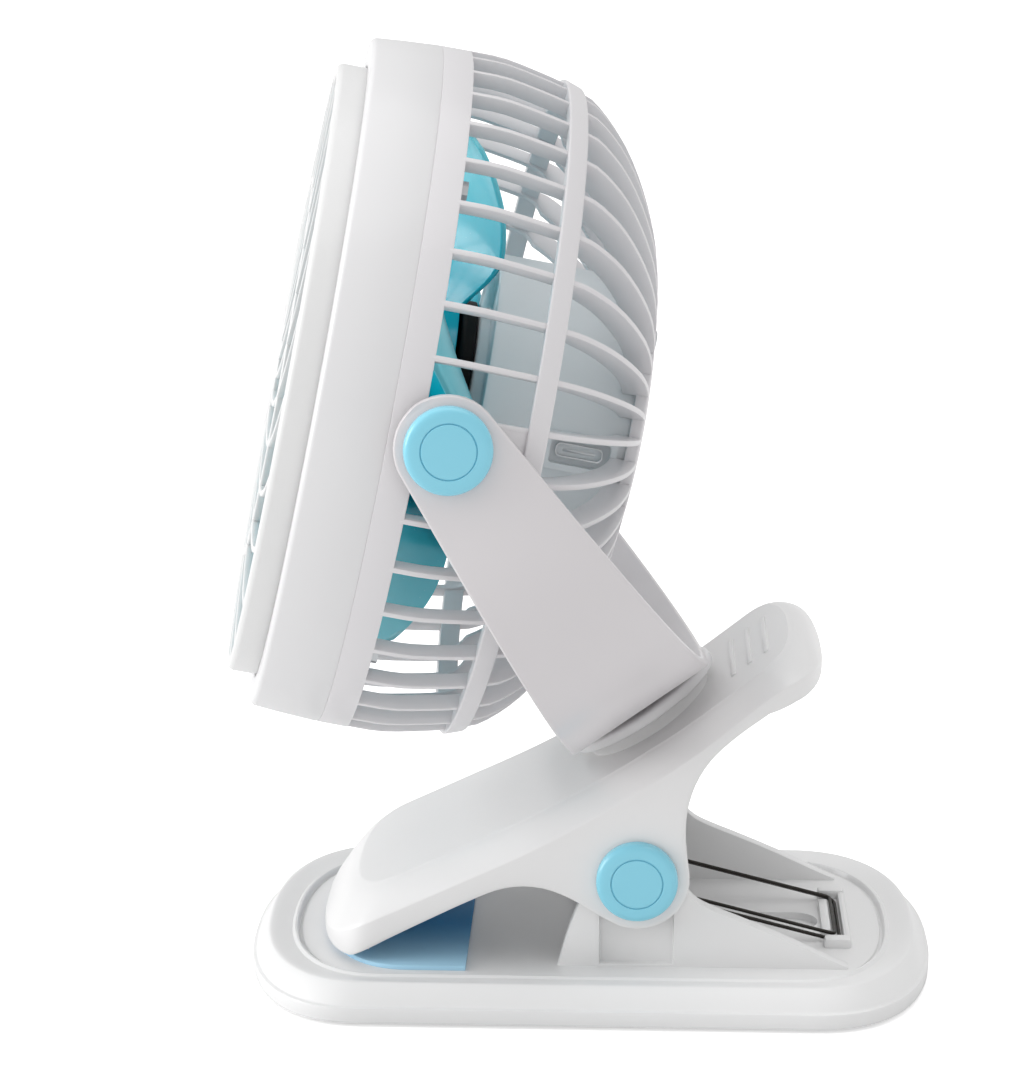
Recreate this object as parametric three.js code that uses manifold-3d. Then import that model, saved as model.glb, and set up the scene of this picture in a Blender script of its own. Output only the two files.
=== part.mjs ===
// Clip-on desk fan: a spring clip that also stands on its base, a U-shaped yoke that swivels
// on the clip's lever, and a tilting head with an impeller inside a ribbed cage.
// Millimetres. X runs across the fan, -Y is the front that blows air, +Z is up.
// The base is drawn about the middle of its underside.
import * as THREE from 'three';
import { mergeVertices } from 'three/addons/utils/BufferGeometryUtils.js';
import Module from 'manifold-3d';

const wasm = await Module();
wasm.setup();

// ---------------------------------------------------------------- driving dimensions
const seatGap = 0.3;            // clearance between pieces that seat on each other
const leastEdge = 0.02;         // finer steps left by cutting are smoothed away

// base
const baseWidth = 91.5;
const baseLength = 147.8;
const baseFrontEnd = 26;        // length of the rounded front end
const baseRearEnd = 27;         // length of the rounded rear end
const planRoundness = 2.35;     // exponent of the rounded ends
const shellFoot = 0.8;          // height of the shell's lower edge above the table
const stepHeight = 5.0;         // top of the upright skirt of the shell
const rimHeight = 8.8;
const rimInset = 3.6;           // rim crest, inside the outer wall
const grooveInset = 10.0;       // line between rim and deck
const grooveDepth = 0.7;
const grooveWidth = 0.8;
const deckHeight = 7.6;
const shellWall = 2.0;
const coverThickness = 2.2;
const footRadius = 6;
const footThickness = 1.7;
const footInset = 17.75;        // from the side of the base to the middle of a foot
const footEndInset = 21.9;
const baseScrewInset = 28.75;
const baseScrewEndInset = 31.9;
const footSpacingX = baseWidth - 2 * footInset;
const footSpacingY = baseLength - 2 * footEndInset;
const baseScrewSpacingX = baseWidth - 2 * baseScrewInset;
const baseScrewSpacingY = baseLength - 2 * baseScrewEndInset;
const screwHeadRadius = 2.4;
const screwHeadHeight = 1.2;
const screwRadius = 1.2;
const lowerPadThickness = 1.0;
const lowerPadRearY = -26;
const lowerPadInset = 3.4;      // from the groove line to the pad's edge

// clip hinge
const hingeY = 10.1;
const hingeZ = 28.3;
const clipPinRadius = 2.0;
const gussetThickness = 3.2;
const gussetHeadRadius = 9.6;
const pocketWidth = 15.5;
const pocketDepth = 1.0;
const earRadius = 11.1;

// clip spring: two coils on the pin, joined by a loop behind the fence
const springWire = 1.8;
const springCoilRadius = 8.5;
const springTurns = 4;
const springPitch = 2.45;
const springLoopHalfWidth = 12;
const springLoopY = 53.6;
const springLegTop = 23.5;      // length of the legs that push on the lever
const fenceHeight = 3.2;
const fenceThickness = 2.0;

// lever
const leverHalfWidth = 31.5;
const leverWall = 2.6;
const leverShoulder = 5.5;      // drop of the rounded shoulder at the sides
const leverShoulderWidth = 6;
const leverNoseEnd = 13;
const leverHandleEnd = 12;
const leverFrontY = -58;
const leverRearY = 49.2;
const leverPlanBottom = -20;    // the outline seen from above is carried from here to the top
const leverPlanTop = 120;
const leverOpenBelow = -10;     // the lever's hollow is cut down to here
const jawRearY = -47;           // rear of the solid nose over the jaw
const jawFrontY = -55;
const noseUnderside = 10.2;
const upperPadThickness = 1.0;
const upperPadHalfWidth = 21;
const gripRibCount = 3;
const gripRibHeight = 0.5;
const gripRibLength = 26;
const gripRibY = 30.2;
const gripRibStep = 3.4;

// swivel and yoke
const yokeFloorY = 8.308;       // where the swivel axis meets the inside of the yoke's bottom
const yokeFloorZ = 61.414;
const swivelLean = 34;          // degrees, lean of the swivel axis towards the front
const swivelAtRest = 7.4;       // degrees, how far the head is turned at rest
const footDiscRadius = 18;
const footDiscThickness = 2.6;
const swivelBossRadius = 15;
const swivelBoltRadius = 2.5;
const yokeInnerHalfWidth = 73.6;
const yokeInnerDepth = 77;      // tilt axis to the inside of the yoke's bottom
const yokeArmThickness = 2.8;
const yokeBottomThickness = 2.2;
const yokeStraight = 20;        // length of the straight part of each arm
const yokeRoundness = 2.15;
const yokeTopHalfWidth = 10.4;
const yokeTaper = 0.085;        // growth of the half width per millimetre down the arm
const capRadius = 8.6;
const capHeight = 2.9;
const washerThickness = 0.6;
const washerRadius = 6.5;
const tiltScrewRadius = 2.2;
const tiltScrewHeadRadius = 4.0;
const tiltScrewTip = 64;        // from the head axis
const tiltClearance = 0.5;      // round the tilt screws, which the head turns on

// head, measured along its axis from the seam between drum and cage
const headTilt = 11.2;          // degrees, how far the head looks up at rest
const seamToPivot = 11.5;
const drumFront = -14.5;
const drumFrontRadius = 71.4;
const seamRadius = 72.3;
const drumWall = 2.2;
const mouthRadius = 65.3;       // opening at the front of the drum
const cageBandEnd = 6.3;
const cageBandRadius = 72.4;
const hoopStart = 26.5;
const hoopEnd = 30.7;
const hoopProud = 0.8;
const ribCount = 42;
const barThickness = 1.3;
const barDepth = 3.0;
const finDepth = 4.6;
const rearDiscRadius = 33;
const rearDiscInner = 52;
const guardRimRadius = 64.8;
const guardFront = -20.4;
const guardDomeHeight = 4.2;
const guardSpokes = 24;
const guardSpokeThickness = 1.3;
const guardSpokeDepth = 2;
const guardSweep = 34;          // degrees that a spoke curves round on its way to the rim
const guardHoopRadius = 40;
const badgeRadius = 14;

// drive
const housingRadius = 32;
const housingStart = 20.6;
const housingWall = 1.6;
const housingStepRadius = 20;
const housingStepStart = 18;
const mountRadius = 21;
const mountStart = 14.5;
const motorRadius = 12.2;
const motorLength = 14;
const shaftRadius = 1.0;
const cellRadius = 9.1;
const cellLength = 49.5;
const hubRadius = 20.5;
const hubFront = -5;
const hubRear = 13.8;
const bladeCount = 5;
const bladeTipRadius = 60;
const bladeSpan = 58;           // degrees covered by one blade
const bladeThickness = 1.4;
const buttonRadius = 5;
const buttonFront = 50.3;       // along the head axis, from the seam
const buttonTop = 54.3;
const buttonEdge = 0.6;
const buttonOffset = 19.6;      // from the head axis to the button, sideways
const lightRadius = 1.4;
const lightOffset = 9.6;        // from the button up to the status light
const boardInner = 19.8;        // inner face of the upright circuit board
const boardThickness = 1.6;
const boardHalfHeight = 13;
const portLength = 12;
const portHeight = 5.4;
const portCentre = 41.5;        // along the head axis, from the seam
const portDrop = 2.3;           // below the head axis

const roundSteps = 42;

// ---------------------------------------------------------------- materials
const finish = (color, roughness, metalness = 0) =>
  new THREE.MeshStandardMaterial({ color, roughness, metalness });
const white = finish(0xe9e8ea, 0.32);
const guardWhite = finish(0xeff1f2, 0.35);
const blue = finish(0x7dd0e4, 0.3);
const blade = finish(0x59c3dd, 0.35);
const padBlue = finish(0x6fb2df, 0.6);
const darkRubber = finish(0x2b2c2e, 0.85);
const black = finish(0x131315, 0.5);
const springSteel = finish(0x2b2926, 0.4, 0.8);
const steel = finish(0xb9bcc0, 0.3, 1);
const zinc = finish(0xc9ccd0, 0.35, 1);
const cellWrap = finish(0x5f7fae, 0.45);
const boardGreen = finish(0x1f6a46, 0.5);
const clearWindow = finish(0xd8ecf2, 0.2);

// ---------------------------------------------------------------- geometry helpers
const radians = THREE.MathUtils.degToRad;

// The tilt axis crosses the swivel axis here.
const pivotY = yokeFloorY - yokeInnerDepth * Math.sin(radians(swivelLean));
const pivotZ = yokeFloorZ + yokeInnerDepth * Math.cos(radians(swivelLean));

// Shared corners are merged, triangles without area dropped, and faces turned outwards.
function closedBody(geometry) {
  const bare = geometry.clone();
  bare.deleteAttribute('normal');
  bare.deleteAttribute('uv');
  const merged = mergeVertices(bare, 1e-4);
  const position = merged.getAttribute('position');
  const index = merged.getIndex().array;
  const kept = [];
  let volume = 0;
  const a = new THREE.Vector3();
  const b = new THREE.Vector3();
  const c = new THREE.Vector3();
  for (let i = 0; i < index.length; i += 3) {
    const [p, q, r] = [index[i], index[i + 1], index[i + 2]];
    if (p === q || q === r || r === p) continue;
    kept.push(p, q, r);
    a.fromBufferAttribute(position, p);
    b.fromBufferAttribute(position, q);
    c.fromBufferAttribute(position, r);
    volume += a.dot(b.cross(c));
  }
  if (volume < 0) {
    for (let i = 0; i < kept.length; i += 3) {
      [kept[i], kept[i + 1]] = [kept[i + 1], kept[i]];
    }
  }
  merged.setIndex(kept);
  return merged;
}

function toSolid(geometry) {
  const body = closedBody(geometry);
  const vertProperties = new Float32Array(body.getAttribute('position').array);
  const triVerts = new Uint32Array(body.getIndex().array);
  return new wasm.Manifold(new wasm.Mesh({ numProp: 3, vertProperties, triVerts }));
}

function toGeometry(solid) {
  const mesh = solid.simplify(leastEdge).getMesh();
  const geometry = new THREE.BufferGeometry();
  geometry.setAttribute('position', new THREE.BufferAttribute(new Float32Array(mesh.vertProperties), 3));
  geometry.setIndex(Array.from(mesh.triVerts));
  return geometry;
}

const join = (...geometries) => toGeometry(
  geometries.map(toSolid).reduce((whole, next) => whole.add(next)));
const cut = (body, ...tools) => toGeometry(
  tools.map(toSolid).reduce((whole, next) => whole.subtract(next), toSolid(body)));
const common = (...geometries) => toGeometry(
  geometries.map(toSolid).reduce((whole, next) => whole.intersect(next)));

// A closed body through rings of the same number of points, with a flat cap at each end.
function ringStack(rings) {
  const count = rings[0].length;
  const points = rings.flat();
  const faces = [];
  for (let i = 0; i + 1 < rings.length; i += 1) {
    for (let j = 0; j < count; j += 1) {
      const k = (j + 1) % count;
      const [p, q] = [i * count + j, i * count + k];
      const [r, s] = [p + count, q + count];
      faces.push(p, q, s, p, s, r);
    }
  }
  const capAt = (ring, first, flip) => {
    const middle = points.length;
    points.push(ring.reduce((sum, p) => sum.add(p), new THREE.Vector3()).divideScalar(count));
    for (let j = 0; j < count; j += 1) {
      const [p, q] = [first + j, first + (j + 1) % count];
      if (flip) faces.push(middle, q, p);
      else faces.push(middle, p, q);
    }
  };
  capAt(rings[0], 0, true);
  capAt(rings[rings.length - 1], (rings.length - 1) * count, false);
  const geometry = new THREE.BufferGeometry().setFromPoints(points);
  geometry.setIndex(faces);
  return closedBody(geometry);
}

// A closed body between two grids of points, the under side and the upper side of a sheet.
function thickSheet(under, upper) {
  const [rows, columns] = [under.length, under[0].length];
  const points = [...under.flat(), ...upper.flat()];
  const low = (i, j) => i * columns + j;
  const high = (i, j) => rows * columns + low(i, j);
  const faces = [];
  const quad = (p, q, r, t) => faces.push(p, q, r, p, r, t);
  for (let i = 0; i + 1 < rows; i += 1) {
    for (let j = 0; j + 1 < columns; j += 1) {
      quad(low(i, j), low(i, j + 1), low(i + 1, j + 1), low(i + 1, j));
      quad(high(i, j), high(i + 1, j), high(i + 1, j + 1), high(i, j + 1));
    }
    quad(low(i, 0), low(i + 1, 0), high(i + 1, 0), high(i, 0));
    quad(low(i + 1, columns - 1), low(i, columns - 1), high(i, columns - 1), high(i + 1, columns - 1));
  }
  for (let j = 0; j + 1 < columns; j += 1) {
    quad(low(0, j + 1), low(0, j), high(0, j), high(0, j + 1));
    quad(low(rows - 1, j), low(rows - 1, j + 1), high(rows - 1, j + 1), high(rows - 1, j));
  }
  const geometry = new THREE.BufferGeometry().setFromPoints(points);
  geometry.setIndex(faces);
  return closedBody(geometry);
}

// A ring of cells round the Y axis between outer and inner points, some cells left open.
// Each station is { outer: [along, radius], inner: [along, radius], half, turn }: half is half the
// thickness of a rib there, and turn its angle. closed(i, k, isRib) tells which cells are filled.
function lattice(stations, ribs, closed) {
  const points = [];
  const columns = 2 * ribs;
  for (const { outer, inner, half, turn = 0 } of stations) {
    for (let j = 0; j < columns; j += 1) {
      const side = j % 2 ? 1 : -1;
      const angle = (2 * Math.PI * (Math.floor(j / 2) + 0.5)) / ribs + side * half / outer[1] + turn;
      for (const [s, r] of [outer, inner]) {
        points.push(new THREE.Vector3(r * Math.cos(angle), s, r * Math.sin(angle)));
      }
    }
  }
  const at = (i, j, inward) => 2 * (i * columns + ((j + columns) % columns)) + inward;
  const isClosed = (i, j) => i >= 0 && i + 1 < stations.length
    && closed(i, Math.floor(((j + columns) % columns) / 2), (j + columns) % 2 === 0);
  const faces = [];
  const quad = (p, q, r, t) => faces.push(p, q, r, p, r, t);
  for (let i = 0; i + 1 < stations.length; i += 1) {
    for (let j = 0; j < columns; j += 1) {
      if (!isClosed(i, j)) continue;
      quad(at(i, j, 0), at(i + 1, j, 0), at(i + 1, j + 1, 0), at(i, j + 1, 0));
      quad(at(i, j, 1), at(i, j + 1, 1), at(i + 1, j + 1, 1), at(i + 1, j, 1));
      if (!isClosed(i - 1, j)) quad(at(i, j, 0), at(i, j + 1, 0), at(i, j + 1, 1), at(i, j, 1));
      if (!isClosed(i + 1, j)) {
        quad(at(i + 1, j, 1), at(i + 1, j + 1, 1), at(i + 1, j + 1, 0), at(i + 1, j, 0));
      }
      if (!isClosed(i, j - 1)) quad(at(i, j, 1), at(i + 1, j, 1), at(i + 1, j, 0), at(i, j, 0));
      if (!isClosed(i, j + 1)) {
        quad(at(i, j + 1, 0), at(i + 1, j + 1, 0), at(i + 1, j + 1, 1), at(i, j + 1, 1));
      }
    }
  }
  const geometry = new THREE.BufferGeometry().setFromPoints(points);
  geometry.setIndex(faces);
  return closedBody(geometry);
}

const shapeOf = (points) => new THREE.Shape(points.map(([u, v]) => new THREE.Vector2(u, v)));

function extrude(shape, from, to, options = {}) {
  const settings = { depth: to - from, bevelEnabled: false, curveSegments: 12, ...options };
  const geometry = new THREE.ExtrudeGeometry(shape, settings);
  return geometry.translate(0, 0, from);
}

const sideways = new THREE.Matrix4().makeBasis(
  new THREE.Vector3(0, 1, 0), new THREE.Vector3(0, 0, 1), new THREE.Vector3(1, 0, 0));

// A side outline of (Y, Z) points, extruded across the fan from one X to another.
const acrossX = (points, from, to, options) =>
  extrude(shapeOf(points), from, to, options).applyMatrix4(sideways);

// A turned body on an axis: profile points are (along the axis, radius).
function turned(profile, steps = roundSteps) {
  const points = profile.map(([along, radius]) => new THREE.Vector2(radius, along));
  return closedBody(new THREE.LatheGeometry(points, steps));
}
const turnedY = (profile, steps) => turned(profile, steps);
const turnedX = (profile, steps) => turned(profile, steps).rotateZ(-Math.PI / 2);
const turnedZ = (profile, steps) => turned(profile, steps).rotateX(Math.PI / 2);

const rod = (from, to, radius) => [[from, 0], [from, radius], [to, radius], [to, 0]];
const tube = (from, to, inner, outer) =>
  [[from, inner], [from, outer], [to, outer], [to, inner], [from, inner]];

function block(x0, x1, y0, y1, z0, z1) {
  const geometry = new THREE.BoxGeometry(x1 - x0, y1 - y0, z1 - z0);
  return geometry.translate((x0 + x1) / 2, (y0 + y1) / 2, (z0 + z1) / 2);
}

function named(parent, name, geometry, material) {
  const mesh = new THREE.Mesh(closedBody(geometry), material);
  mesh.name = name;
  parent.add(mesh);
  return mesh;
}

// Value of a curve given by sorted (x, y) points, straight between them.
function along(points, x) {
  const last = points.length - 1;
  if (x <= points[0][0]) return points[0][1];
  for (let i = 0; i < last; i += 1) {
    const [[x0, y0], [x1, y1]] = [points[i], points[i + 1]];
    if (x <= x1) return y0 + (y1 - y0) * (x - x0) / (x1 - x0);
  }
  return points[last][1];
}

// ---------------------------------------------------------------- base
// Plan of the base, drawn in by an inset: straight sides and superelliptic ends.
function basePlan(inset, z, steps = 7) {
  const halfWidth = baseWidth / 2 - inset;
  const halfLength = baseLength / 2 - inset;
  const corner = (end, signX, signY) => {
    const reach = end - inset / 2;
    return Array.from({ length: steps }, (_, i) => {
      const t = (Math.PI / 2) * (i / (steps - 1));
      const power = 2 / planRoundness;
      const x = signX * halfWidth * Math.cos(t) ** power;
      const y = signY * (halfLength - reach + reach * Math.sin(t) ** power);
      return new THREE.Vector3(x, y, z);
    });
  };
  const ring = [
    ...corner(baseRearEnd, 1, 1),
    ...corner(baseRearEnd, -1, 1).reverse().slice(1),
    ...corner(baseFrontEnd, -1, -1),
    ...corner(baseFrontEnd, 1, -1).reverse().slice(1),
  ];
  return ring;
}

const gussetOuter = leverHalfWidth - leverWall - seatGap - 0.1;
const gussetInner = gussetOuter - gussetThickness;
const fenceY = springLoopY - springWire / 2 - seatGap - fenceThickness;
const loopHeight = deckHeight + springWire / 2 + seatGap;

function gussetOutline() {
  const foot = deckHeight - 0.5;
  const head = [];
  for (let angle = 196; angle >= -24; angle -= 20) {
    const t = radians(angle);
    head.push([hingeY + gussetHeadRadius * Math.cos(t), hingeZ + gussetHeadRadius * Math.sin(t)]);
  }
  return [
    [-6.5, foot], [-5.8, 10.6], [-3.6, 19], ...head,
    [24.4, 21.1], [32.7, 17.9], [41.4, 14.2], [53.3, deckHeight + 0.4], [53.3, foot],
  ];
}

function baseScrewPlaces() {
  const [x, y] = [baseScrewSpacingX / 2, baseScrewSpacingY / 2];
  return [['front_left', -x, -y], ['front_right', x, -y], ['rear_left', -x, y], ['rear_right', x, y]];
}

function footPlaces() {
  const [x, y] = [footSpacingX / 2, footSpacingY / 2];
  return [['front_left', -x, -y], ['front_right', x, -y], ['rear_left', -x, y], ['rear_right', x, y]];
}

const coverBottom = shellFoot + 0.1;
const coverTop = shellFoot + coverThickness;
const coverScrewSeat = coverBottom + screwHeadHeight + 0.2;

function baseShell() {
  const ceiling = deckHeight - shellWall;
  const groove = deckHeight - grooveDepth;
  const skin = ringStack([
    basePlan(grooveInset + grooveWidth, deckHeight),
    basePlan(grooveInset + grooveWidth, groove),
    basePlan(grooveInset, groove),
    basePlan(grooveInset - 0.3, deckHeight + 0.2),
    basePlan(rimInset + 1.6, rimHeight),
    basePlan(rimInset, rimHeight - 0.1),
    basePlan(0.5, stepHeight + 0.3),
    basePlan(0, stepHeight - 0.6),
    basePlan(0.2, shellFoot),
    basePlan(shellWall, shellFoot),
    basePlan(shellWall, coverTop + seatGap),
    basePlan(shellWall + 3.5, ceiling),
  ]);
  const posts = baseScrewPlaces().map(([, x, y]) => turnedZ(tube(coverTop + seatGap, ceiling + 0.5,
    screwRadius + seatGap, screwRadius + 2.2), 8).translate(x, y, 0));
  const gussets = [-1, 1].map((side) => {
    const [near, far] = [side * gussetInner, side * gussetOuter];
    return acrossX(gussetOutline(), Math.min(near, far), Math.max(near, far));
  });
  const fenceHalfWidth = springLoopHalfWidth - 2.6;
  const fence = block(-fenceHalfWidth, fenceHalfWidth, fenceY, fenceY + fenceThickness,
    deckHeight - 0.5, deckHeight + fenceHeight);
  const hooks = [-1, 1].map((side) => {
    const near = springLoopHalfWidth + springWire / 2 + seatGap;
    const [x0, x1] = side > 0 ? [near, near + 3] : [-near - 3, -near];
    return block(x0, x1, fenceY, springLoopY + 2.4, deckHeight - 0.5, deckHeight + fenceHeight + 0.4);
  });
  const rearWall = block(-springLoopHalfWidth - 4.5, springLoopHalfWidth + 4.5,
    springLoopY + springWire / 2 + seatGap, springLoopY + springWire / 2 + seatGap + 1.4,
    deckHeight - 0.5, deckHeight + 1.2);
  const whole = join(skin, ...posts, ...gussets, fence, ...hooks, rearWall);
  const pinHole = turnedX(rod(-gussetOuter - 1, gussetOuter + 1, clipPinRadius + seatGap), 24)
    .translate(0, hingeY, hingeZ);
  const pockets = [-1, 1].map((side) => {
    const [near, far] = [side * (gussetOuter - pocketDepth), side * (gussetOuter + 1)];
    return block(Math.min(near, far), Math.max(near, far), hingeY - pocketWidth / 2,
      hingeY + pocketWidth / 2, deckHeight + 0.6, hingeZ - clipPinRadius - 4);
  });
  const thumbRecess = extrude(oblong(7, 16), deckHeight - 0.8, deckHeight + 1).translate(0, 40.4, 0);
  return cut(whole, pinHole, ...pockets, thumbRecess);
}

function oblong(width, length) {
  const straight = (length - width) / 2;
  const shape = new THREE.Shape();
  shape.absarc(0, straight, width / 2, 0, Math.PI, false);
  shape.absarc(0, -straight, width / 2, Math.PI, 2 * Math.PI, false);
  return shape;
}

function bottomCover() {
  const inset = shellWall + seatGap;
  const plate = ringStack([basePlan(inset, coverBottom), basePlan(inset, coverTop)]);
  const footPockets = footPlaces().map(([, x, y]) =>
    turnedZ(rod(-1, footThickness + seatGap, footRadius + seatGap), 16).translate(x, y, 0));
  const screwHoles = baseScrewPlaces().map(([, x, y]) => turnedZ([
    [0, 0], [0, screwHeadRadius + seatGap], [coverScrewSeat, screwHeadRadius + seatGap],
    [coverScrewSeat, screwRadius + seatGap], [coverTop + 1, screwRadius + seatGap],
    [coverTop + 1, 0],
  ], 8).translate(x, y, 0));
  return cut(plate, ...footPockets, ...screwHoles);
}

// Deck pad under the nose: the deck's own outline drawn in, cut off straight at the rear.
function lowerJawPad() {
  const inset = grooveInset + lowerPadInset;
  const bottom = deckHeight + 0.1;
  const whole = ringStack([basePlan(inset, bottom), basePlan(inset, deckHeight + lowerPadThickness - 0.2),
    basePlan(inset + 0.3, deckHeight + lowerPadThickness)]);
  return common(whole, block(-baseWidth, baseWidth, -baseLength, lowerPadRearY, 0, 2 * deckHeight));
}

function screw(length, steps = 8) {
  return turnedZ([[0, 0], [0, screwHeadRadius], [screwHeadHeight, screwHeadRadius],
    [screwHeadHeight, screwRadius], [length, screwRadius], [length, 0]], steps);
}

// ---------------------------------------------------------------- clip spring
// The wire's middle line: leg on the lever, coil, leg to the rear loop, and the same mirrored.
function springHalf() {
  const step = radians(360 / 8);
  const loop = new THREE.Vector2(springLoopY, loopHeight);
  const centre = new THREE.Vector2(hingeY, hingeZ);
  const reach = loop.distanceTo(centre);
  const bearing = Math.atan2(loop.y - centre.y, loop.x - centre.x);
  const rearTangent = bearing - Math.acos(springCoilRadius / reach) + 2 * Math.PI;
  const leverTangent = radians(143);
  const sweep = rearTangent - leverTangent + 2 * Math.PI * springTurns;
  const steps = Math.round(sweep / step);
  const coilWidth = springPitch * sweep / (2 * Math.PI);
  const points = [];
  for (let i = 0; i <= steps; i += 1) {
    const t = i / steps;
    const angle = rearTangent - sweep * t;
    points.push(new THREE.Vector3(springLoopHalfWidth + coilWidth * t,
      hingeY + springCoilRadius * Math.cos(angle), hingeZ + springCoilRadius * Math.sin(angle)));
  }
  const last = points[points.length - 1];
  const heading = new THREE.Vector3(0, Math.sin(leverTangent), -Math.cos(leverTangent));
  points.push(last.clone().addScaledVector(heading, springLegTop / 2));
  points.push(last.clone().addScaledVector(heading, springLegTop));
  return points;
}

function springPath() {
  const half = springHalf();
  const corner = 2.2;
  const bend = [];
  const start = new THREE.Vector3(springLoopHalfWidth, springLoopY, loopHeight);
  const inward = half[0].clone().sub(start).normalize();
  const bendStart = start.clone().addScaledVector(inward, corner);
  const bendEnd = start.clone().add(new THREE.Vector3(-corner, 0, 0));
  const curve = new THREE.QuadraticBezierCurve3(bendStart, start, bendEnd);
  bend.push(...curve.getPoints(4).reverse());
  const right = [...bend, ...half];
  const left = right.map((p) => new THREE.Vector3(-p.x, p.y, p.z)).reverse();
  return [...left, ...right];
}

// A tube of five sides along a list of points, kept from twisting by carrying its frame along.
function wire(points, radius, sides = 5) {
  const tangents = points.map((p, i) => {
    const before = points[Math.max(i - 1, 0)];
    const after = points[Math.min(i + 1, points.length - 1)];
    return after.clone().sub(before).normalize();
  });
  let normal = new THREE.Vector3(1, 0, 0);
  const rings = points.map((p, i) => {
    normal = normal.clone().addScaledVector(tangents[i], -normal.dot(tangents[i])).normalize();
    const side = tangents[i].clone().cross(normal);
    return Array.from({ length: sides }, (_, j) => {
      const t = (2 * Math.PI * j) / sides;
      return p.clone().addScaledVector(normal, radius * Math.cos(t))
        .addScaledVector(side, radius * Math.sin(t));
    });
  });
  return ringStack(rings);
}

// Least distance between stretches of the wire that are at least half a turn apart, less its width.
function leastSelfGap(points, width, skip) {
  const fine = [];
  for (let i = 0; i + 1 < points.length; i += 1) {
    for (let j = 0; j < 4; j += 1) fine.push(points[i].clone().lerp(points[i + 1], j / 4));
  }
  let least = Infinity;
  for (let i = 0; i < fine.length; i += 1) {
    for (let j = i + skip; j < fine.length; j += 1) least = Math.min(least, fine[i].distanceTo(fine[j]));
  }
  return least - width;
}

// ---------------------------------------------------------------- lever
// Crown of the lever from nose to handle, as (Y, Z) points on its middle line.
const leverCrown = [
  [-55.2, 18.6], [-50, 21.6], [-40, 26.3], [-28, 32], [-15, 38.2], [-5, 43.6], [4.6, 49.4],
  [12, 54.2], [18, 58.3], [24, 62.5], [31, 67.6], [38.4, 72.3],
];
const handleTip = [[42, 73.9], [45.4, 74.2], [47.8, 73], [49.2, 70.9], [48.6, 68.8], [46.4, 67.6]];
const noseFront = [[-57.4, 14.6], [-58, 10.6], [-57.2, 9.4]];

// Lower edge of the skirts, from the nose to the handle, round the ears.
function skirtEdge() {
  const ear = [];
  for (let angle = 238; angle <= 352; angle += 19) {
    const t = radians(angle);
    ear.push([hingeY + earRadius * Math.cos(t), hingeZ + earRadius * Math.sin(t)]);
  }
  return [
    [-50.5, 9.4], [-46.5, 11.9], [-24.5, 23.2], [-19, 25.6], [-13.8, 26.4], [-8.5, 25.8], [-3, 23.6],
    ...ear, [21.2, 31.5], [20.2, 37], [20.4, 43], [22.2, 49.4], [25.6, 55], [31, 60.2], [38, 64.6],
    [42.6, 66.6],
  ];
}

function leverPlan(inset) {
  const halfWidth = leverHalfWidth - inset;
  const [front, rear] = [leverFrontY + inset, leverRearY - inset];
  const steps = 7;
  const corner = (end, signX, tip) => Array.from({ length: steps }, (_, i) => {
    const t = (Math.PI / 2) * (i / (steps - 1));
    const power = 2 / 2.5;
    const direction = Math.sign(tip);
    return [signX * halfWidth * Math.cos(t) ** power, tip - direction * end * (1 - Math.sin(t) ** power)];
  });
  const ring = [
    ...corner(leverHandleEnd, 1, rear), ...corner(leverHandleEnd, -1, rear).reverse().slice(1),
    ...corner(leverNoseEnd, -1, front), ...corner(leverNoseEnd, 1, front).reverse().slice(1),
  ];
  return extrude(shapeOf(ring), leverPlanBottom, leverPlanTop);
}

function crownDown(drop) {
  return leverCrown.map(([y, z]) => {
    const slope = (along(leverCrown, y + 1) - along(leverCrown, y - 1)) / 2;
    return [y, z - drop * Math.hypot(1, slope)];
  });
}

const swivelDown = new THREE.Vector3(0, Math.sin(radians(swivelLean)), -Math.cos(radians(swivelLean)));
const yokeOuterDepth = yokeInnerDepth + yokeBottomThickness;
const boltHeadTop = yokeInnerDepth + 0.1;
const boltHeadBottom = boltHeadTop + 1;
const discTop = yokeOuterDepth + seatGap;
const bossTop = discTop + footDiscThickness + seatGap;

// Puts a body that is turned about Z, with Z measured down the swivel axis, onto that axis.
function onSwivelAxis(geometry) {
  return geometry.rotateX(Math.PI).rotateX(radians(swivelLean)).translate(0, pivotY, pivotZ);
}

// Distance from the tilt axis down the swivel axis to the inside of the lever's top.
function swivelDepthAt(curve) {
  let depth = bossTop;
  while (pivotZ + depth * swivelDown.z > along(curve, pivotY + depth * swivelDown.y)) depth += 0.05;
  return depth;
}
const nutTop = swivelDepthAt(crownDown(leverWall + 0.6)) + 4.2;

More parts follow.
